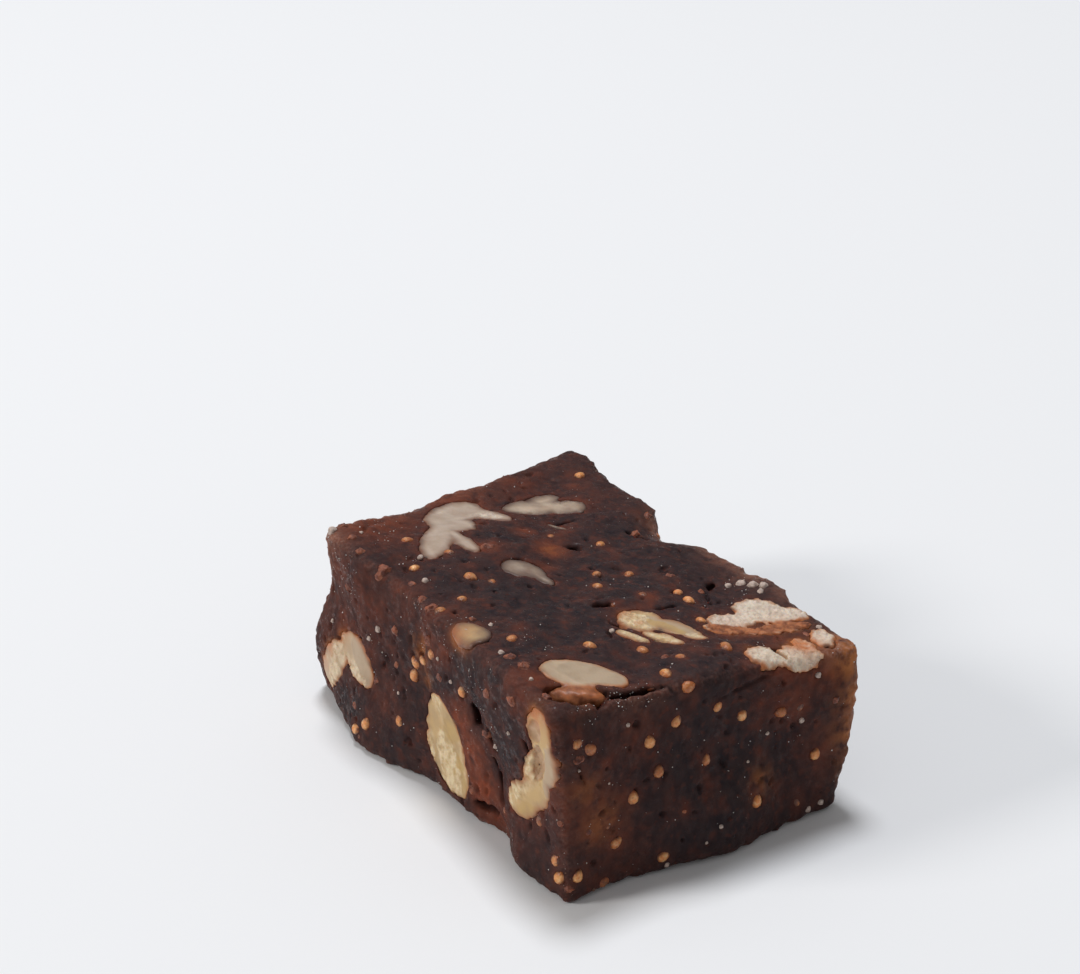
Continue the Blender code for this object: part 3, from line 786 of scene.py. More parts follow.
# Smaller pits on every face: how many, the middle of where they lie, and how far they reach from it.
PITS = {"top": (150, (0, 0), (27, 17)), "side": (130, (0, 10), (27, 9.5)), "near": (70, (0, 10), (17, 9.5)),
        "back": (90, (0, 10), (27, 9.5)), "far": (60, (0, 10), (17, 9.5)), "base": (70, (0, 0), (26, 16))}
PIT_WIDTHS = (0.25, 0.75)
PIT_LENGTHS = (1.0, 2.2)  # of the width
PIT_SEED = 34

# Where the knife tore the paste into lumps: x, y, z, radius, strength.
TORN_PLACES = [
    (-1, -16, 20, 4.5, 1.0), (5, -14, 21, 3.0, 0.8), (10, -17, 19.5, 3.5, 0.8), (16, -17, 20, 3.5, 0.9),
    (-21, -13, 21, 5.5, 1.0), (-26, -8, 21, 4.0, 0.7), (-14, -16, 20, 3.5, 0.7), (-9, -13, 21, 3.0, 0.5),
    (10, -18, 9, 4.5, 0.6), (20, 8, 21, 3.0, 0.6), (12, 15, 21, 3.0, 0.6), (25, 17, 20, 3.0, 0.8),
    (-4, 15, 21, 4.0, 0.8), (20, -15, 4, 4.0, 0.5), (9, 18, 9, 7.0, 0.6), (-28, -4, 9, 6.0, 0.5),
]
TORN_HEIGHT = 0.6
TORN_SIZE = 1.3
TORN_LEVEL = 0.3

# Where a thin tan film and frost of dried syrup show along the cut edges: x, y, z, radius, strength.
RIM_PLACES = [
    (-21.5, -16, 20.5, 3.5, 1.3), (-26, -7, 21, 5.0, 0.9), (-24, 4, 21, 4.0, 0.3),
    (-6.5, 18.5, 20, 3.0, 1.4), (-4, 16, 20, 3.0, 1.1), (-0.5, 17.5, 21, 2.4, 1.3), (3, 20, 21, 5.0, 1.2),
    (10, 20, 21, 5.0, 1.3), (16, 20, 20, 4.0, 0.8), (28, 18.5, 19, 4.0, 1.4), (27.4, -9, 20.8, 3.5, 0.5),
    (28, 18.5, 12, 5.0, 1.0), (-27, 17, 14, 6.0, 0.2), (-10, 18, 2, 8.0, 0.4),
]

# Where most of the dust lies, given in the same way.
DUST_PLACES = [
    (25.0, -12, 21, 4.0, 1.0), (24.5, -4, 21.5, 3.0, 0.5), (4, -17, 20.5, 3.0, 0.7),
    (-21.5, -15, 21, 4.0, 1.6), (12, -14, 21, 3.0, 0.5), (-2, -16.5, 18, 3.0, 0.4), (11, 16, 21, 3.0, 0.6),
    (-5.5, 17.2, 20.5, 2.4, 1.8), (27, -12, 13, 4.0, 0.2), (-12, -11, 21, 2.5, 0.4),
    (-14, -17, 14, 5.0, 0.3), (9, -17, 16, 5.0, 0.3), (24, 10, 21, 3.0, 0.5),
]
DUST_DRIFTS = waves(35, 10, 12.0, 2.0)
DUST_EVERYWHERE = 0.06
DUST_AT_EDGES = 0.2
DUST_FROM = (0.4, 0.6)  # how high above the table it starts, and over what height it comes in

# Where the paste is thin or clear, and light comes through red or amber: x, y, z, radius, strength.
REDS = [
    (27, -15, 10, 5.0, 0.55), (27, -12, 4, 4.0, 0.35), (27, 18.5, 12, 3.0, 0.8), (-6.5, 3.5, 21, 2.0, 1.4),
    (-9.1, -3.0, 21, 1.5, 1.2), (-11.5, 3.2, 21, 1.4, 1.0), (-3.2, 1.0, 21, 1.2, 0.7),
    (-18, -16, 20, 2.4, 0.8), (0, -16.4, 19, 3.0, 0.7), (27.3, 9.5, 19.5, 2.4, 1.1),
    (27.3, 15, 17.5, 2.6, 1.0), (27, 10, 15.5, 3.0, 0.7), (27, 14, 9, 3.5, 0.4), (-12, -17, 17, 5.0, 0.45),
    (-22, -12, 21, 6.0, 1.1), (-23, -15, 14, 6.0, 0.4), (-24, 2, 21, 5.0, 0.9), (-23, 10, 21, 4.0, 0.5),
    (-24, 17, 20, 5.0, 0.2), (7.6, -18, 8.6, 2.4, 2.2), (9.6, -18, 5, 2.6, 2.2), (5.8, -17, 12, 1.8, 1.6),
    (11.0, -18, 1.4, 3.0, 1.2), (18.6, -17, 21.5, 2.2, 1.5), (22.6, -17, 20, 2.0, 1.0),
    (25, -17.5, 12, 4.0, 0.4), (16, -17.5, 4, 4.0, 0.3), (-18, -17.5, 13, 3.0, 0.5),
    (-8, -17.5, 8, 3.0, 0.4), (0, -15.6, 20, 2.0, 0.7), (3.0, -17.2, 19, 1.8, 0.7),
    (-6, -16, 20, 2.5, 0.5), (21.8, -17, 18.6, 1.8, 0.9), (20.0, 10.5, 21, 2.2, 0.8),
    (24.0, 12.5, 21, 2.5, 0.6), (9.0, 5.5, 21, 1.2, 0.6), (6.0, -12.0, 21, 1.4, 0.4),
    (22, 2.0, 21, 1.2, 0.4), (8, 18, 12, 6.0, 0.4), (-14, 19, 14, 6.0, 0.4), (-28, -8, 10, 5.0, 0.4),
    (-28, 9, 12, 5.0, 0.5), (27, -9.5, 17.5, 3.5, 0.5), (10.5, -17.5, 11, 2.0, 0.5),
]
# Painted glow: amber where light would come through the paste, above all down the back edge of the near end,
# as though lit from behind: x, y, z, radius, strength.
AMBER_GLOWS = [
    (27.4, 18.4, 18, 2.4, 1.4), (27.4, 18.4, 13.6, 2.2, 1.2), (27.4, 18.4, 9.4, 2.4, 1.3),
    (27.4, 18.4, 5, 2.0, 0.9), (27, 5.6, 7, 1.7, 0.55), (27, -13.6, 8.5, 2.2, 0.5),
    (27, -15.6, 13, 1.8, 0.5), (21.8, -17, 19.4, 1.2, 0.9), (22.4, -15.0, 20.5, 1.6, 0.8),
    (-6.4, 3.6, 21, 1.0, 0.5), (-2, -16.6, 16.6, 1.4, 0.7), (-1, -16.6, 13.6, 1.2, 0.5),
]

# Partly painted reflection: the paste's near black, with a bluish cast that stands for the sheen of the cool
# overhead light.
PASTE_DARK_AND_SHEEN = (0.0200, 0.0140, 0.0165)
PASTE_DIM = (0.0430, 0.0260, 0.0255)
PASTE_BROWN = (0.110, 0.0360, 0.0235)
PASTE_RED = (0.200, 0.0480, 0.0220)
# Painted glow of light coming through thin paste.
PASTE_AMBER_GLOW = (0.40, 0.140, 0.042)
PASTE_TAN = (0.270, 0.1350, 0.0930)
PASTE_FROST = (0.42, 0.255, 0.205)
# Painted shade: near black laid into the paste where it lies deep in a tear or pit.
PASTE_PAINTED_SHADE = (0.022, 0.0042, 0.0028)


def work(field, low, step, low_corner, high_corner, change):
    """Changes a field inside the space between two corners."""
    first = np.clip(np.floor((low_corner - low) / step).astype(int), 0, field.shape)
    last = np.clip(np.ceil((high_corner - low) / step).astype(int) + 1, 0, field.shape)
    part = tuple(slice(a, b) for a, b in zip(first, last))
    old = field[part]
    field[part] = change(grid_points(low + first * step, old.shape, step), old.reshape(-1)).reshape(old.shape)


def sink_ball(field, low, place, sizes, rough, softness):
    """Sinks an uneven ball-shaped hollow in the paste."""
    centre, axes = place
    reach = max(sizes) / 2 + 3 * rough + softness

    def change(points, old):
        ball = ball_distance(points, centre, axes, sizes)
        return soft_max(old, -ball - rough * ripple(points, HOLLOW_WAVES), softness)

    work(field, low, PASTE_STEP, centre - reach, centre + reach, change)


def pit_spots():
    """Every small pit: its face, across, up, length, width and turn."""
    draw = random.Random(PIT_SEED)
    spots = []
    for face, (count, middle, reach) in PITS.items():
        for _ in range(count):
            width = PIT_WIDTHS[0] * (PIT_WIDTHS[1] / PIT_WIDTHS[0]) ** draw.random()
            length = width * draw.uniform(*PIT_LENGTHS)
            at = [a + draw.uniform(-b, b) for a, b in zip(middle, reach)]
            turns = (50, 130) if face == "side" else (0, 180)
            spots.append((face, *at, length, width, draw.uniform(*turns)))
    return spots


def paste_field(low, high):
    """The distance field of the paste, roughened, torn and pitted, with a pocket for each kernel."""
    field = block_field(low, high, PASTE_STEP)
    near = np.abs(field) < PASTE_BAND
    points = low + PASTE_STEP * np.argwhere(near)
    reach = np.sort(cut_reach(points), axis=1)[:, 1] - EDGE
    frayed = np.exp(-np.maximum(-reach, 0) / FRAY_WIDTH)
    stand = FINE_HEIGHT * ripple(points, FINE_WAVES)
    stand = stand + LUMP_HEIGHT * (LUMP_LEVEL - grains(points, LUMP_SIZE, 7)**2)
    stand += FRAY_HEIGHT * frayed * ripple(points, FRAY_WAVES)
    lumps = 0.7 * grains(points, TORN_SIZE, 9)**2 + 0.3 * grains(points, TORN_SIZE / 2, 10)**2
    stand += TORN_HEIGHT * glow_at(points, TORN_PLACES) * (TORN_LEVEL - lumps)
    field[near] -= stand
    for face, across, up, length, width, depth, turn in HOLLOWS + TEARS:
        place, sizes = laid_in(face, across, up, turn), (length, width, 2 * depth)
        sink_ball(field, low, place, sizes, HOLLOW_ROUGH * min(1, width), TEAR_ROUND)
    for face, across, up, length, width, turn in pit_spots():
        place, sizes = laid_in(face, across, up, turn), (length, width, 2 * PIT_DEPTH * width)
        sink_ball(field, low, place, sizes, PIT_UNEVEN, PIT_ROUND)
    for name in WALNUTS:
        def change(points, old):
            grip = GRIP + GRIP_UNEVEN * ripple(points, FINE_WAVES)
            return soft_max(old, -kernel_distance(points, name) - grip, LIP)

        work(field, low, PASTE_STEP, *kernel_room(name, GRIP_ROOM), change)
    heights = low[2] + PASTE_STEP * np.arange(field.shape[2])
    return np.maximum(field, -heights)


def thinned(mesh, triangles):
    """The same surface with fewer triangles, where it is smooth."""
    thing = linked("thinned", mesh)
    tool = thing.modifiers.new("thinned", "DECIMATE")
    tool.ratio = min(1.0, triangles / (2 * len(mesh.polygons)))
    graph = bpy.context.evaluated_depsgraph_get()
    thin = bpy.data.meshes.new_from_object(thing.evaluated_get(graph))
    bpy.data.objects.remove(thing)
    return thin


def nearness(places, centres, width):
    """1 at the nearest of the centres, falling off over a width."""
    tree = KDTree(len(centres))
    for i, centre in enumerate(centres):
        tree.insert(centre, i)
    tree.balance()
    return np.exp(-np.array([tree.find(p)[2] for p in places]) / width)


def paste_mesh(seeds):
    """The block of paste, with what its finish and the dust read."""
    low, high = map(np.array, PASTE_ROOM)
    mesh = thinned(drawn("fig_paste_block", paste_field(low, high), low, PASTE_STEP), PASTE_TRIANGLES)
    mesh.shade_smooth()
    places = places_of(mesh)
    halo = np.zeros(len(places))
    for name in WALNUTS:
        halo = np.maximum(halo, np.exp(-np.maximum(kernel_distance(places, name), 0) / HALO_WIDTH))
    beside_edge = np.maximum(EDGE - np.sort(cut_reach(places), axis=1)[:, 1], 0)
    give(mesh, "red", glow_at(places, REDS))
    # Painted glow, as though light came through the paste.
    give(mesh, "amber", glow_at(places, AMBER_GLOWS))
    give(mesh, "halo", halo)
    thin = glow_at(places, RIM_PLACES)
    give(mesh, "thin", thin * np.exp(-beside_edge / TAN_WIDTH))
    give(mesh, "edge", np.exp(-beside_edge / EDGE_GLOW_WIDTH))
    give(mesh, "rim", np.exp(-beside_edge / FROST_WIDTH) * np.clip(0.18 + 0.82 * thin, 0, 1))
    # Painted shade: how deep each place lies under the cut faces, which darkens tears and pits.
    give(mesh, "deep", np.clip(-block_distance(places) / 0.8 - 0.3, 0, 1))
    give(mesh, "seed_halo", nearness(places, seeds, SEED_HALO_WIDTH))
    give(mesh, "lit", glow_at(places, WALNUT_GLOWS))
    drifts = np.clip(0.2 + 0.8 * ripple(places, DUST_DRIFTS), 0, 1)
    above = ramp(places[:, 2], *DUST_FROM)
    strewn = glow_at(places, DUST_PLACES) + DUST_EVERYWHERE
    strewn = strewn + DUST_AT_EDGES * np.exp(-beside_edge / FROST_WIDTH)
    give(mesh, "dust", above * drifts * strewn)
    give(mesh, "crumbs", above * drifts * np.exp(-beside_edge / FRINGE_WIDTH))
    return mesh


def fig_paste_finish():
    """Near black paste with brown and red places, a painted amber glow, tan and frosted rims and satin specks
    of syrup.
    """
    material, tree, place = new_finish("boiled_fig_paste")
    upright = put(tree, "ShaderNodeMapping", {0: place, 3: (1.0, 1.0, 0.6)}).outputs[0]
    clear = product(tree, patches(tree, upright, 4.5, 0.50, 0.72, 4.0), 0.55)
    for name, share in (("edge", 0.15), ("thin", 0.5), ("red", 0.9)):
        clear = sums(tree, "ADD", clear, product(tree, read(tree, name), share))
    clear = product(tree, clear, between(tree, patches(tree, upright, 1.3, 0.3, 0.65, 4.0), 0.35, 1.0))
    uneven = patches(tree, place, 1.2, 0.30, 0.60, 4.0)
    tints = []
    for name, share, over in (("red", 0.6, PASTE_RED), ("halo", 0.3, PASTE_RED), ("thin", 0.9, PASTE_TAN),
                              ("amber", 1.0, PASTE_AMBER_GLOW)):
        tints.append((product(tree, product(tree, read(tree, name), share), uneven), over))
    colour = layered(tree, mixed(tree, patches(tree, upright, 0.9, 0.3, 0.7, 4.0), PASTE_DARK_AND_SHEEN, PASTE_DIM), (
        (clear, PASTE_BROWN),
        (product(tree, patches(tree, place, 1.7, 0.56, 0.78, 1.0), 0.22), PASTE_RED),
        (product(tree, patches(tree, place, 0.8, 0.60, 0.72, 1.0), 0.17), PASTE_RED),
        *tints,
        # painted glow where the paste is thin over a kernel
        (product(tree, sums(tree, "POWER", read(tree, "halo"), 2.0), read(tree, "lit")), PASTE_AMBER_GLOW),
        (product(tree, read(tree, "seed_halo"), patches(tree, place, 2.0, 0.25, 0.65)), PASTE_RED),
        # painted shade deep in tears and pits
        (read(tree, "deep"), PASTE_PAINTED_SHADE),
        (product(tree, read(tree, "rim"), patches(tree, place, 0.35, 0.42, 0.64, 4.0)), PASTE_FROST),
    ))
    fine = times(tree, noise(tree, place, 0.25, 2.0), patches(tree, place, 2.5, 0.5, 0.7))
    height = sums(tree, "ADD", noise(tree, place, 0.9, 1.0), fine, clamp=False)
    satin = between(tree, patches(tree, place, 0.6, 0.54, 0.62, 4.0), 0.70, 0.24)
    return finished(material, colour, satin, bumped(tree, height, 0.06),
                    light=0.3, tint=(1.0, 0.35, 0.22), reach=1.0, shine=0.075)


# Fig seeds.
# A fig's seeds stay together in small nests. They are hard, golden and glossy, the shape of a drop, and lie
# half sunk in the paste, some of them under a film of it.

SEED_LENGTH = 1.45
SEED_WIDTH = 1.15
SEED_THICKNESS = 0.9
SEED_TAPER = 0.45  # how much narrower it gets towards its tip
SEED_SINK = 0.08
SEED_SINK_MORE = 0.26  # the most that a seed is sunk beyond that
FACE_SEED_SIZES = {"top": 1.1, "side": 1.18, "near": 1.18}  # how much larger the seeds of these faces are
SEED_SIZES = (0.84, 1.08)
SEED_SHINES_FROM = 0.35  # how far out of the paste its shell is clear of it
SEED_ROOM = 1.0  # least paste between a seed and a walnut or a tear
SEED_SPACING = 1.3  # in seed lengths, centre to centre
SEED_SPREAD = 0.35
SEED_DRAW = 5
SEED_TRIES = 12
SEEDS = {
    "top": [(-20.5, 8.2), (-21.1, 18.0), (-15.6, -12.2), (-13.4, -10.1), (-10.3, -12.7), (-3.9, -8.9),
            (-2.6, -7.2), (-0.8, -11.9), (-5.2, 9.8), (1.1, 3.9), (3.8, 2.6), (-0.2, -4.7), (9.8, -13.4),
            (15.2, -6.6), (0.3, -15.4), (3.2, 7.2), (8.6, 5.6), (9.2, 8.8), (22.1, 5.4), (18.2, -2.7),
            (22.1, -0.8), (25.8, -3.0), (23.6, -4.6)],
    "side": [(-10.5, 3.4), (24.4, 2.6), (20.4, 4.9), (-3.6, 14.0), (-1.7, 15.2), (-2.0, 12.6),
             (0.4, 17.0), (-5.6, 6.4), (-24.5, 11.0)],
    "near": [(-15.0, 17.9), (-4.2, 16.9), (3.8, 15.2), (-7.1, 15.4), (-6.9, 12.2), (-10.4, 10.5),
             (4.4, 5.2), (11.3, 2.9), (13.9, 7.8), (-11.2, 4.9), (-6.2, 1.4), (-1.1, 12.2), (8.7, 13.8)],
}
# Seeds close to a walnut or a tear: face, across, up, turn.
CLOSE_SEEDS = [
    ("top", -10.3, -7.6, 20), ("top", -15.4, -9.8, 80), ("top", 16.0, 7.0, 30), ("top", 11.4, 9.0, 0),
    ("side", -3.4, 12.8, 80), ("top", 22.6, 5.0, 0), ("side", 20.9, 7.6, 80), ("side", 24.0, 4.6, 60),
    ("side", -12.6, 2.0, 40), ("side", 6.8, 16.0, 70), ("near", -16.4, 18.8, 20), ("near", -16.6, 3.2, 70),
    ("near", -13.2, 1.0, 10), ("near", 0.6, 17.6, 50),
]
# Seeds on the other faces: how many, how far across, and from how low to how high.
SCATTERED = {"back": (18, 22, 3, 17), "far": (12, 13, 3, 17)}

# Small seeds that lie deeper, given in the same way.
SUNKEN = {"top": (24, 26, -16, 19), "side": (14, 26, 1, 19), "near": (12, 16, 1, 18),
          "back": (16, 26, 1, 18), "far": (10, 16, 1, 18), "base": (34, 25, -15, 15)}
SUNKEN_DEPTHS = (0.34, 0.5)
SUNKEN_SIZES = (0.75, 0.99)  # beside the others
SUNKEN_TONES = (0.0, 0.4)  # how golden the small ones are
SEED_TONES = (0.1, 1.0)  # and the others
SUNKEN_SEED = 41
BASE_SEED_DEPTH = 0.1  # further in, so that the block rests on its paste
SUNKEN_ROOM = 0.6  # least paste between a small seed and a walnut
SEED_GOLD = (0.72, 0.270, 0.070)
# Amber of a shell deep in the paste, also painted shade on the low part of every shell.
SEED_AMBER_AND_SHADE = (0.30, 0.078, 0.022)
# Painted highlight on the upper part of a shell.
SEED_PAINTED_HIGHLIGHT = (0.86, 0.50, 0.23)
SEED_FILM = (0.090, 0.0300, 0.0170)


def seed_spots():
    """Face, across, up and turn of every seed: the placed ones first, then the scattered ones."""
    draw = random.Random(SEED_DRAW)
    wanted = [(face, *spot) for face, spots in SEEDS.items() for spot in spots]
    for face, (count, reach, low, high) in SCATTERED.items():
        wanted += [(face, draw.uniform(-reach, reach), draw.uniform(low, high)) for _ in range(count)]
    holes = [(face, lobe) for face, lobes in WALNUTS.values() for lobe in lobes]
    holes += [(hollow[0], hollow[1:]) for hollow in HOLLOWS]
    holes = [(place_on(face, *hole[:2]), hole[2] / 2 + SEED_ROOM + SEED_LENGTH / 2) for face, hole in holes]
    spots = []
    for face, across, up in wanted:
        for _ in range(SEED_TRIES):
            a, b = across + draw.gauss(0, SEED_SPREAD), up + draw.gauss(0, SEED_SPREAD)
            point = place_on(face, a, b)
            if all(np.linalg.norm(point - centre) > reach for centre, reach in holes):
                holes.append((point, SEED_SPACING * SEED_LENGTH))
                spots.append((face, a, b, draw.uniform(0, 180)))
                break
    return spots


def sunken_spots():
    """Small seeds under the surface: face, across, up, turn, sink and size."""
    draw = random.Random(SUNKEN_SEED)
    spots = []
    for face, (count, across, low, high) in SUNKEN.items():
        for _ in range(count):
            spots.append((face, draw.uniform(-across, across), draw.uniform(low, high), draw.uniform(0, 180),
                          draw.uniform(*SUNKEN_DEPTHS) + BASE_SEED_DEPTH * (face == "base"),
                          draw.uniform(*SUNKEN_SIZES)))
    return spots


def turned_points(name, places, turns, sizes):
    """A point for each place, which carries its turn and its size."""
    mesh = bpy.data.meshes.new(name)
    mesh.from_pydata((np.array(places) * MM).tolist(), [], [])
    mesh.attributes.new("turn", "FLOAT_VECTOR", "POINT").data.foreach_set("vector", np.ravel(turns))
    give(mesh, "size", np.array(sizes))
    return mesh


def seed_points():
    """The points of all seeds, which carry their tone too, and where they lie."""
    draw = random.Random(SUNKEN_SEED)
    large_spots = seed_spots() + CLOSE_SEEDS
    spots = [(*spot, SEED_SINK + SEED_SINK_MORE * draw.random()**2, 1.0) for spot in large_spots]
    spots += sunken_spots()
    places, turns, sizes, tones = [], [], [], []
    for face, across, up, turn, sink, size in spots:
        large = size == 1
        if large:
            size *= FACE_SEED_SIZES.get(face, 1.0)
        centre, axes = laid_in(face, across, up, turn, sink)
        centre = centre - (block_distance(centre[None, :])[0] + sink) * axes[2]
        if not large and min(kernel_distance(centre[None, :], name)[0] for name in WALNUTS) < SUNKEN_ROOM:
            continue
        places.append(centre)
        turns.append(tuple(Matrix(axes.T).to_euler()))
        sizes.append(size * draw.uniform(*SEED_SIZES))
        tones.append(draw.uniform(*(SEED_TONES if large else SUNKEN_TONES)))
    mesh = turned_points("seed_points", places, turns, sizes)
    give(mesh, "tone", np.array(tones))
    return mesh, places


def stored(tree, name, kind="FLOAT"):
    """What each point of a mesh stores under a name."""
    return put(tree, "GeometryNodeInputNamedAttribute", {"Name": name}, data_type=kind).outputs[0]


def laid_out(tree, points, shape, turn, size, finish):
    """A shape on every point, as plain mesh with its finish."""
    laid = put(tree, "GeometryNodeInstanceOnPoints",
               {"Points": points, "Instance": shape, "Rotation": turn, "Scale": size}).outputs[0]
    real = put(tree, "GeometryNodeRealizeInstances", {0: laid}).outputs[0]
    return put(tree, "GeometryNodeSetMaterial", {"Geometry": real, "Material": finish}).outputs[0]


def laid_on_points(tree, given, shape, width):
    """A shape on every point, turned and sized as the point says."""
    turn = put(tree, "FunctionNodeEulerToRotation", {0: stored(tree, "turn", "FLOAT_VECTOR")}).outputs[0]
    size = times(tree, stored(tree, "size"), width)
    return laid_out(tree, given["Points"], shape, turn, size, given["Finish"])


def new_tree(name, **inputs):
    """A Geometry Nodes tree, its named inputs of these kinds, and the one output that it ends in."""
    tree = bpy.data.node_groups.new(name, "GeometryNodeTree")
    for key, kind in inputs.items():
        tree.interface.new_socket(key, in_out="INPUT", socket_type="NodeSocket" + kind)
    tree.interface.new_socket("Pieces", in_out="OUTPUT", socket_type="NodeSocketGeometry")
    return tree, put(tree, "NodeGroupInput").outputs


def seed_tree():
    """Sets a drop-shaped seed on every point, turned and sized as the point says."""
    tree, given = new_tree("fig_seeds", Points="Geometry", Length="Float", Width="Float", Thickness="Float",
                           Taper="Float", Finish="Material")
    ball = put(tree, "GeometryNodeMeshUVSphere", {"Segments": 10, "Rings": 7, "Radius": 0.5}).outputs[0]
    place = put(tree, "ShaderNodeSeparateXYZ", {0: put(tree, "GeometryNodeInputPosition").outputs[0]}).outputs
    narrow = times(tree, place[0], given["Taper"])
    narrow = sums(tree, "SUBTRACT", 1.0, narrow, clamp=False)
    girths = [times(tree, narrow, given[key]) for key in ("Width", "Thickness")]
    sizes = (given["Length"], *girths)
    parts = {i: times(tree, place[i], size) for i, size in enumerate(sizes)}
    drop = put(tree, "ShaderNodeCombineXYZ", parts).outputs[0]
    seed = put(tree, "GeometryNodeSetPosition", {"Geometry": ball, "Position": drop}).outputs[0]
    seed = put(tree, "GeometryNodeSetShadeSmooth", {"Geometry": seed, "Shade Smooth": True}).outputs[0]
    put(tree, "NodeGroupOutput", {0: laid_on_points(tree, given, seed, 1.0)})
    return tree


def grown(name, mesh, tree, inputs):
    """The plain mesh that a Geometry Nodes tree makes of a mesh, with its inputs set by name."""
    host = linked(name, mesh)
    tool = host.modifiers.new(name, "NODES")
    tool.node_group = tree
    for item in tree.interface.items_tree:
        if item.item_type == "SOCKET" and item.in_out == "INPUT" and item.name in inputs:
            tool[item.identifier] = inputs[item.name]
    graph = bpy.context.evaluated_depsgraph_get()
    plain = bpy.data.meshes.new_from_object(host.evaluated_get(graph), preserve_all_data_layers=True,
                                            depsgraph=graph)
    bpy.data.objects.remove(host)
    plain.name = name
    return plain


def seed_finish():
    """A golden, glossy shell with a painted highlight above, amber where it lies deep and as painted shade
    lower down, with a film of paste over part of it.
    """
    material, tree, place = new_finish("fig_seed_shell")
    out = read(tree, "out")
    # Gold where the shell stands out of the paste and amber below it: partly the paste closing over it,
    # partly painted shade.
    tone = product(tree, spread(tree, read(tree, "tone"), 0.0, 0.7), out)
    # Painted highlight: pale patches on the golden upper part.
    pale = product(tree, patches(tree, place, 0.5, 0.4, 0.7), tone)
    film = sums(tree, "SUBTRACT", patches(tree, place, 0.7, 0.42, 0.56, 3.0), product(tree, out, 0.95))
    colour = layered(tree, mixed(tree, tone, SEED_AMBER_AND_SHADE, SEED_GOLD), ((pale, SEED_PAINTED_HIGHLIGHT), (film, SEED_FILM)))
    return finished(material, colour, 0.30, bumps(tree, place, 0.3, 0.12, 0.06),
                    light=0.35, tint=(1.0, 0.4, 0.15), reach=0.4, shine=0.45)


points, seed_places = seed_points()
seed_shell = seed_finish()
seeds = grown("fig_seeds_set", points, seed_tree(),
              {"Length": SEED_LENGTH * MM, "Width": SEED_WIDTH * MM, "Thickness": SEED_THICKNESS * MM,
               "Taper": SEED_TAPER, "Finish": seed_shell})
give(seeds, "out", ramp(block_distance(places_of(seeds)), 0, SEED_SHINES_FROM))
show("fig_seeds_set", seeds, seed_shell, "fig_seed")
paste = show("fig_paste_block", paste_mesh(seed_places), fig_paste_finish(), "fig_paste", "fig_paste")

# Crumbs and dust of the cut.
# The knife drags walnut meal and sugar along the edges. Fine white specks lie over the paste, frayed paste
# clings along the cut edges, and pale crumbs of walnut and red bits of fig flesh stand out of the faces.

CRUMB_UNEVEN = 0.44  # how lumpy a crumb is
CRUMB_SINK = 0.1  # of a crumb's width
CRUMB_FINENESS = 3
CRUMB_SEED = 53

# Dust and frays: how many lie on an area of paste where their share is 1, and their widths.
COUNTED_ON = 1e-3  # that area, in square metres
FEW_LARGE = 3.0  # the higher, the fewer large ones
DUST = {"Count": 4200.0, "Smallest": 0.05, "Largest": 0.19, "Random": 51}
FRAYS = {"Count": 3600.0, "Smallest": 0.14, "Largest": 0.45, "Random": 52}
FULL_TURN = 6.28  # in radians
PROBE_HEIGHT = 2.0  # a bit is set down from this far above the face
PROBE_REACH = 3.5  # and meets the paste within this length

# Crumbs of walnut: the face, and across, up and width of each.
WALNUT_CRUMBS = [
    ("top", [(-20.9, -16.2, 1.1), (-19.0, -13.6, 0.5), (-11.0, -11.0, 0.7), (5.6, -16.2, 0.6),
             (6.6, -15.6, 0.5), (4.6, -18.4, 0.5), (10.6, 16.9, 1.2), (11.8, 17.6, 1.3), (12.9, 18.2, 1.1),
             (10.0, 15.6, 0.8), (13.6, 17.2, 0.8), (28.0, 13.4, 0.9), (28.9, 11.2, 0.7), (22.9, 17.6, 0.7),
             (13.4, -3.0, 0.6), (14.6, -2.2, 0.5)]),
    ("side", [(-12.0, 13.4, 0.6), (13.2, 12.6, 0.6), (-20.4, 11.6, 0.5), (-6.0, 9.4, 0.4)]),
    ("near", [(-6.0, 0.9, 0.6), (12.4, 1.2, 0.8), (14.0, 1.6, 0.7), (-10.0, 18.6, 0.5), (4.4, 9.8, 0.35),
              (-12.6, 12.8, 0.3)]),
    ("back", [(6.0, 15.0, 0.6)]), ("far", [(4.0, 4.0, 0.6)]), ("side", [(-10.5, 15.2, 0.8)]),
    ("top", [(-6.1, -13.6, 0.8), (5.9, -13.3, 0.6), (12.3, -16.4, 0.7)]), ("side", [(2.0, 17.6, 0.5)]),
    ("top", [(18.7, -17.2, 0.5)]), ("side", [(16.8, 16.4, 0.5)]),
    ("near", [(-16.0, 15.3, 0.4), (7.1, 12.2, 0.45), (0.0, 4.1, 0.5), (-1.7, 2.6, 0.4)]),
]
CRUMB_WHITE = (0.62, 0.48, 0.41)
CRUMB_SHADE = 0.6  # how dark a crumb's darker places are beside its colour
SUGAR_WHITE = (0.80, 0.74, 0.70)
FRAY_BROWN = (0.22, 0.115, 0.080)

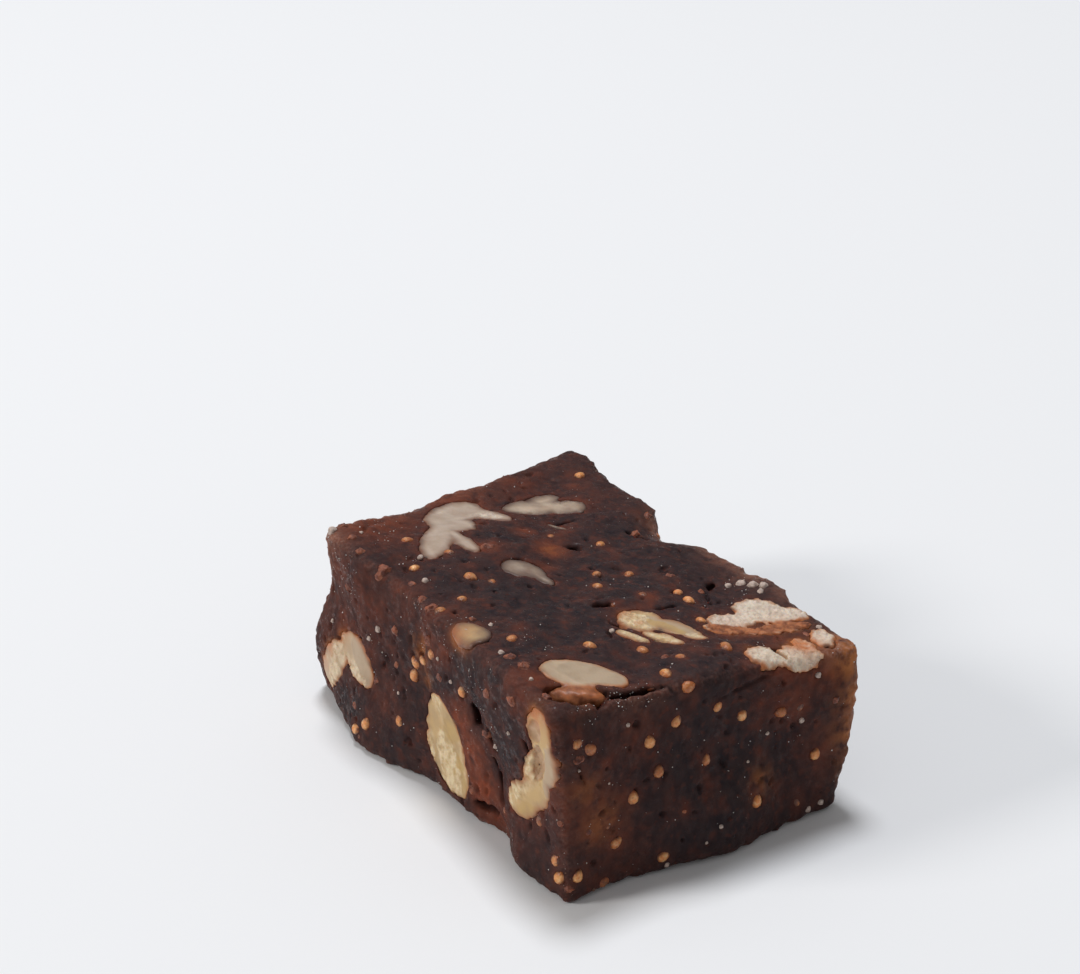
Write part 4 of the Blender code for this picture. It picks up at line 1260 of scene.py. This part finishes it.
# Pieces of fig flesh that stand out of the paste, given in the same way.
FIG_BITS = [
    ("top", [(-10.6, -16.0, 2.0), (-0.8, -16.4, 1.6), (-14.8, -16.4, 1.2), (-3.1, -16.0, 1.3),
             (-9.1, -3.4, 1.8), (9.9, 11.8, 1.0), (-6.0, 15.1, 1.2), (-8.8, 19.0, 1.3), (-18.0, -15.4, 1.3),
             (-21.6, -14.6, 1.2), (-6.5, -15.0, 1.1), (3.6, -14.0, 1.1), (13.6, -16.2, 1.5),
             (16.4, -16.4, 1.7), (21.4, -17.2, 1.3), (20.6, -1.6, 1.0), (23.4, 15.2, 1.1),
             (9.0, -16.8, 1.2), (-24.6, -8.0, 1.1), (5.8, 10.8, 1.2)]),
    ("side", [(-7.1, 16.6, 1.4), (-6.9, 12.4, 1.0), (2.3, 15.5, 1.4), (10.6, 12.6, 1.3), (7.4, 3.8, 1.3),
              (17.8, 21.0, 1.6), (12.8, 19.0, 1.4), (-13.6, 4.4, 1.3), (-10.2, 9.0, 1.1), (24.9, 9.6, 1.0),
              (-0.4, 18.6, 1.4), (-16.4, 17.8, 1.3)]),
    ("near", [(-16.4, 17.0, 1.5), (-15.2, 8.0, 1.1), (15.4, 14.0, 1.2), (-17.6, 2.0, 1.2)]),
    ("back", [(-8.0, 14.0, 1.4), (9.4, 12.6, 1.2), (19.0, 5.0, 1.3), (-19.0, 6.0, 1.5), (1.0, 16.4, 1.2)]),
    ("far", [(0.8, 15.0, 1.4), (-11.0, 13.4, 1.2), (3.0, 5.0, 1.3)]),
]
FIG_FLESH = (0.30, 0.100, 0.052)
FIG_FLESH_DARK = (0.110, 0.0340, 0.0230)
FIG_BIT_SINK = 0.3
FIG_BIT_FINENESS = 4
FIG_BIT_SEED = 54


def crumb_shape(tree, fineness):
    """A lumpy ball, one wide."""
    ball = put(tree, "GeometryNodeMeshIcoSphere", {"Radius": 0.5, "Subdivisions": fineness}).outputs[0]
    lumps = put(tree, "ShaderNodeTexNoise", {"Scale": 2.2, "Detail": 1.0}).outputs["Color"]
    push = put(tree, "ShaderNodeVectorMath", {0: lumps, 1: (0.5, 0.5, 0.5)}, operation="SUBTRACT").outputs[0]
    push = put(tree, "ShaderNodeVectorMath", {0: push, "Scale": CRUMB_UNEVEN}, operation="SCALE")
    return put(tree, "GeometryNodeSetPosition", {"Geometry": ball, "Offset": push.outputs[0]}).outputs[0]


def scatter_tree(name, density):
    """Strews crumbs over a surface, as many as a number that the surface stores says."""
    tree, given = new_tree(name, Surface="Geometry", Count="Float", Smallest="Float", Largest="Float",
                           Random="Int", Finish="Material")
    count = times(tree, stored(tree, density), given["Count"])
    spots = put(tree, "GeometryNodeDistributePointsOnFaces",
                {"Mesh": given["Surface"], "Density": count, "Seed": given["Random"]}).outputs[0]
    size = put(tree, "FunctionNodeRandomValue", {"Seed": given["Random"]}, data_type="FLOAT").outputs["Value"]
    size = sums(tree, "POWER", size, FEW_LARGE, clamp=False)
    size = between(tree, size, given["Smallest"], given["Largest"])
    turn = put(tree, "FunctionNodeRandomValue", {"Max": (FULL_TURN,) * 3, "Seed": given["Random"]},
               data_type="FLOAT_VECTOR").outputs["Value"]
    shape = crumb_shape(tree, 1)
    put(tree, "NodeGroupOutput", {0: laid_out(tree, spots, shape, turn, size, given["Finish"])})
    return tree


def crumb_finish(name, colour, dull):
    """A grainy, slightly clear finish in one colour and its darker shade."""
    material, tree, place = new_finish(name)
    darker = tuple(CRUMB_SHADE * c for c in colour)
    colour = mixed(tree, patches(tree, place, 0.3, 0.3, 0.7), darker, colour)
    return finished(material, colour, dull, bumps(tree, place, 0.2, 0.08, 0.03),
                    light=0.3, tint=(1.0, 0.8, 0.6), reach=0.2)


def placed_bits(name, groups, surface, sink, fineness, finish, seed):
    """Bits set down on a surface, each turned at random and sunk by a share of its width."""
    draw = random.Random(seed)
    places, widths = [], []
    for face, spots in groups:
        for across, up, width in spots:
            place, axes = laid_in(face, across, up, 0.0)
            met = surface.ray_cast((place + PROBE_HEIGHT * axes[2]) * MM, -axes[2], PROBE_REACH * MM)[0]
            places.append((place if met is None else np.array(met) / MM) - sink * width * axes[2])
            widths.append(width)
    turns = [draw.uniform(0, FULL_TURN) for _ in range(3 * len(places))]
    mesh = turned_points(name + "_points", places, turns, widths)
    tree, given = new_tree(name, Points="Geometry", Width="Float", Finish="Material")
    shape = put(tree, "GeometryNodeSetShadeSmooth",
                {"Geometry": crumb_shape(tree, fineness), "Shade Smooth": True}).outputs[0]
    put(tree, "NodeGroupOutput", {0: laid_on_points(tree, given, shape, given["Width"])})
    return grown(name, mesh, tree, {"Width": MM, "Finish": finish})


def fig_flesh():
    """Moist red-brown flesh, darker in places."""
    material, tree, place = new_finish("fig_flesh")
    colour = mixed(tree, patches(tree, place, 0.7, 0.35, 0.65, 3.0), FIG_FLESH_DARK, FIG_FLESH)
    return finished(material, colour, 0.42, bumps(tree, place, 0.4, 0.15, 0.08),
                    light=0.4, tint=(1.0, 0.4, 0.25), reach=0.6, shine=0.3)


crumb_white = crumb_finish("walnut_crumb", CRUMB_WHITE, 0.5)
flesh_red = fig_flesh()
corners, faces = [v.co for v in paste.data.vertices], [p.vertices for p in paste.data.polygons]
surface = BVHTree.FromPolygons(corners, faces)
for name, groups, sink, fineness, finish, seed, slot in (
    ("walnut_crumbs_loose", WALNUT_CRUMBS, CRUMB_SINK, CRUMB_FINENESS, crumb_white, CRUMB_SEED, "walnut"),
    ("fig_pieces", FIG_BITS, FIG_BIT_SINK, FIG_BIT_FINENESS, flesh_red, FIG_BIT_SEED, "fig_paste"),
):
    show(name, placed_bits(name, groups, surface, sink, fineness, finish, seed), finish, slot)
for name, density, values, material, slot in (
    ("sugar_dust", "dust", DUST, crumb_finish("sugar_dust", SUGAR_WHITE, 0.5), "sugar"),
    ("paste_frays", "crumbs", FRAYS, crumb_finish("frayed_paste", FRAY_BROWN, 0.55), "fig_paste"),
):
    inputs = {key: value * MM if key in ("Smallest", "Largest") else value for key, value in values.items()}
    inputs["Count"] = values["Count"] / COUNTED_ON
    strewn = grown(name, paste.data, scatter_tree(name, density), {**inputs, "Finish": material})
    show(name, strewn, material, slot)

# The table, the light and the camera.
# The block lies on a pale table in a pale room. A broad soft lamp hangs over it and a weaker one stands at
# its left, and the camera looks down on its near corner.

TABLE_HALF = 1.5
TABLE_COLOUR = (0.86, 0.86, 0.87)
TABLE_DULL = 0.8
LAMP_WIDTH = 0.4
ROOM_LIGHT = 0.28
CAMERA_TILT = 27.0
CAMERA_TURN = 54.3
CAMERA_AWAY = 0.350
CAMERA_LENS = 86.67
CAMERA_TARGET = (-0.0523, 0.0349, 0.0)


def table():
    low, high = -TABLE_HALF, TABLE_HALF
    mesh = bpy.data.meshes.new("table_top")
    mesh.from_pydata([(low, low, 0), (high, low, 0), (high, high, 0), (low, high, 0)], [], [(0, 1, 2, 3)])
    material = bpy.data.materials.new("pale_table")
    material.use_nodes = True
    shader = material.node_tree.nodes["Principled BSDF"]
    fill_in(material.node_tree, shader, {"Base Color": (*TABLE_COLOUR, 1.0), "Roughness": TABLE_DULL})
    mesh.materials.append(material)
    top = linked("table_top", mesh)
    top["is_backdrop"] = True


def lamp(name, place, size, power, colour, shine):
    light = bpy.data.lights.new(name, "AREA")
    light.shape = "DISK"
    light.size = size
    light.energy = power
    light.color = colour
    light.specular_factor = shine
    thing = linked(name, light)
    thing.location = place
    thing.rotation_euler = (-Vector(place)).to_track_quat("-Z", "Y").to_euler()


def camera():
    tilt, turn = math.radians(CAMERA_TILT), math.radians(CAMERA_TURN)
    back = Vector((math.sin(turn) * math.cos(tilt), -math.cos(turn) * math.cos(tilt), math.sin(tilt)))
    view = bpy.data.cameras.new("camera")
    view.lens = CAMERA_LENS
    view.sensor_width = 36.0
    view.clip_start = 0.01
    thing = linked("camera", view)
    thing.location = Vector(CAMERA_TARGET) + CAMERA_AWAY * back
    thing.rotation_euler = (-back).to_track_quat("-Z", "Y").to_euler()
    bpy.context.scene.camera = thing


table()
lamp("overhead", (-0.35, 0.15, 1.4), LAMP_WIDTH, 12.5, (0.93, 0.96, 1.0), 1.0)
lamp("left", (-0.55, -1.3, 0.75), LAMP_WIDTH, 10.5, (1.0, 0.98, 0.95), 0.5)
world = bpy.data.worlds.new("pale_room")
world.use_nodes = True
air = world.node_tree.nodes["Background"].inputs
air["Color"].default_value = (1.0, 1.0, 1.0, 1.0)
air["Strength"].default_value = ROOM_LIGHT
bpy.context.scene.world = world
bpy.context.scene.view_settings.view_transform = "Standard"
camera()

boxes = {"cad": cad_box, "visual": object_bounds()}
{name: [list(corner) for corner in box] for name, box in boxes.items()}
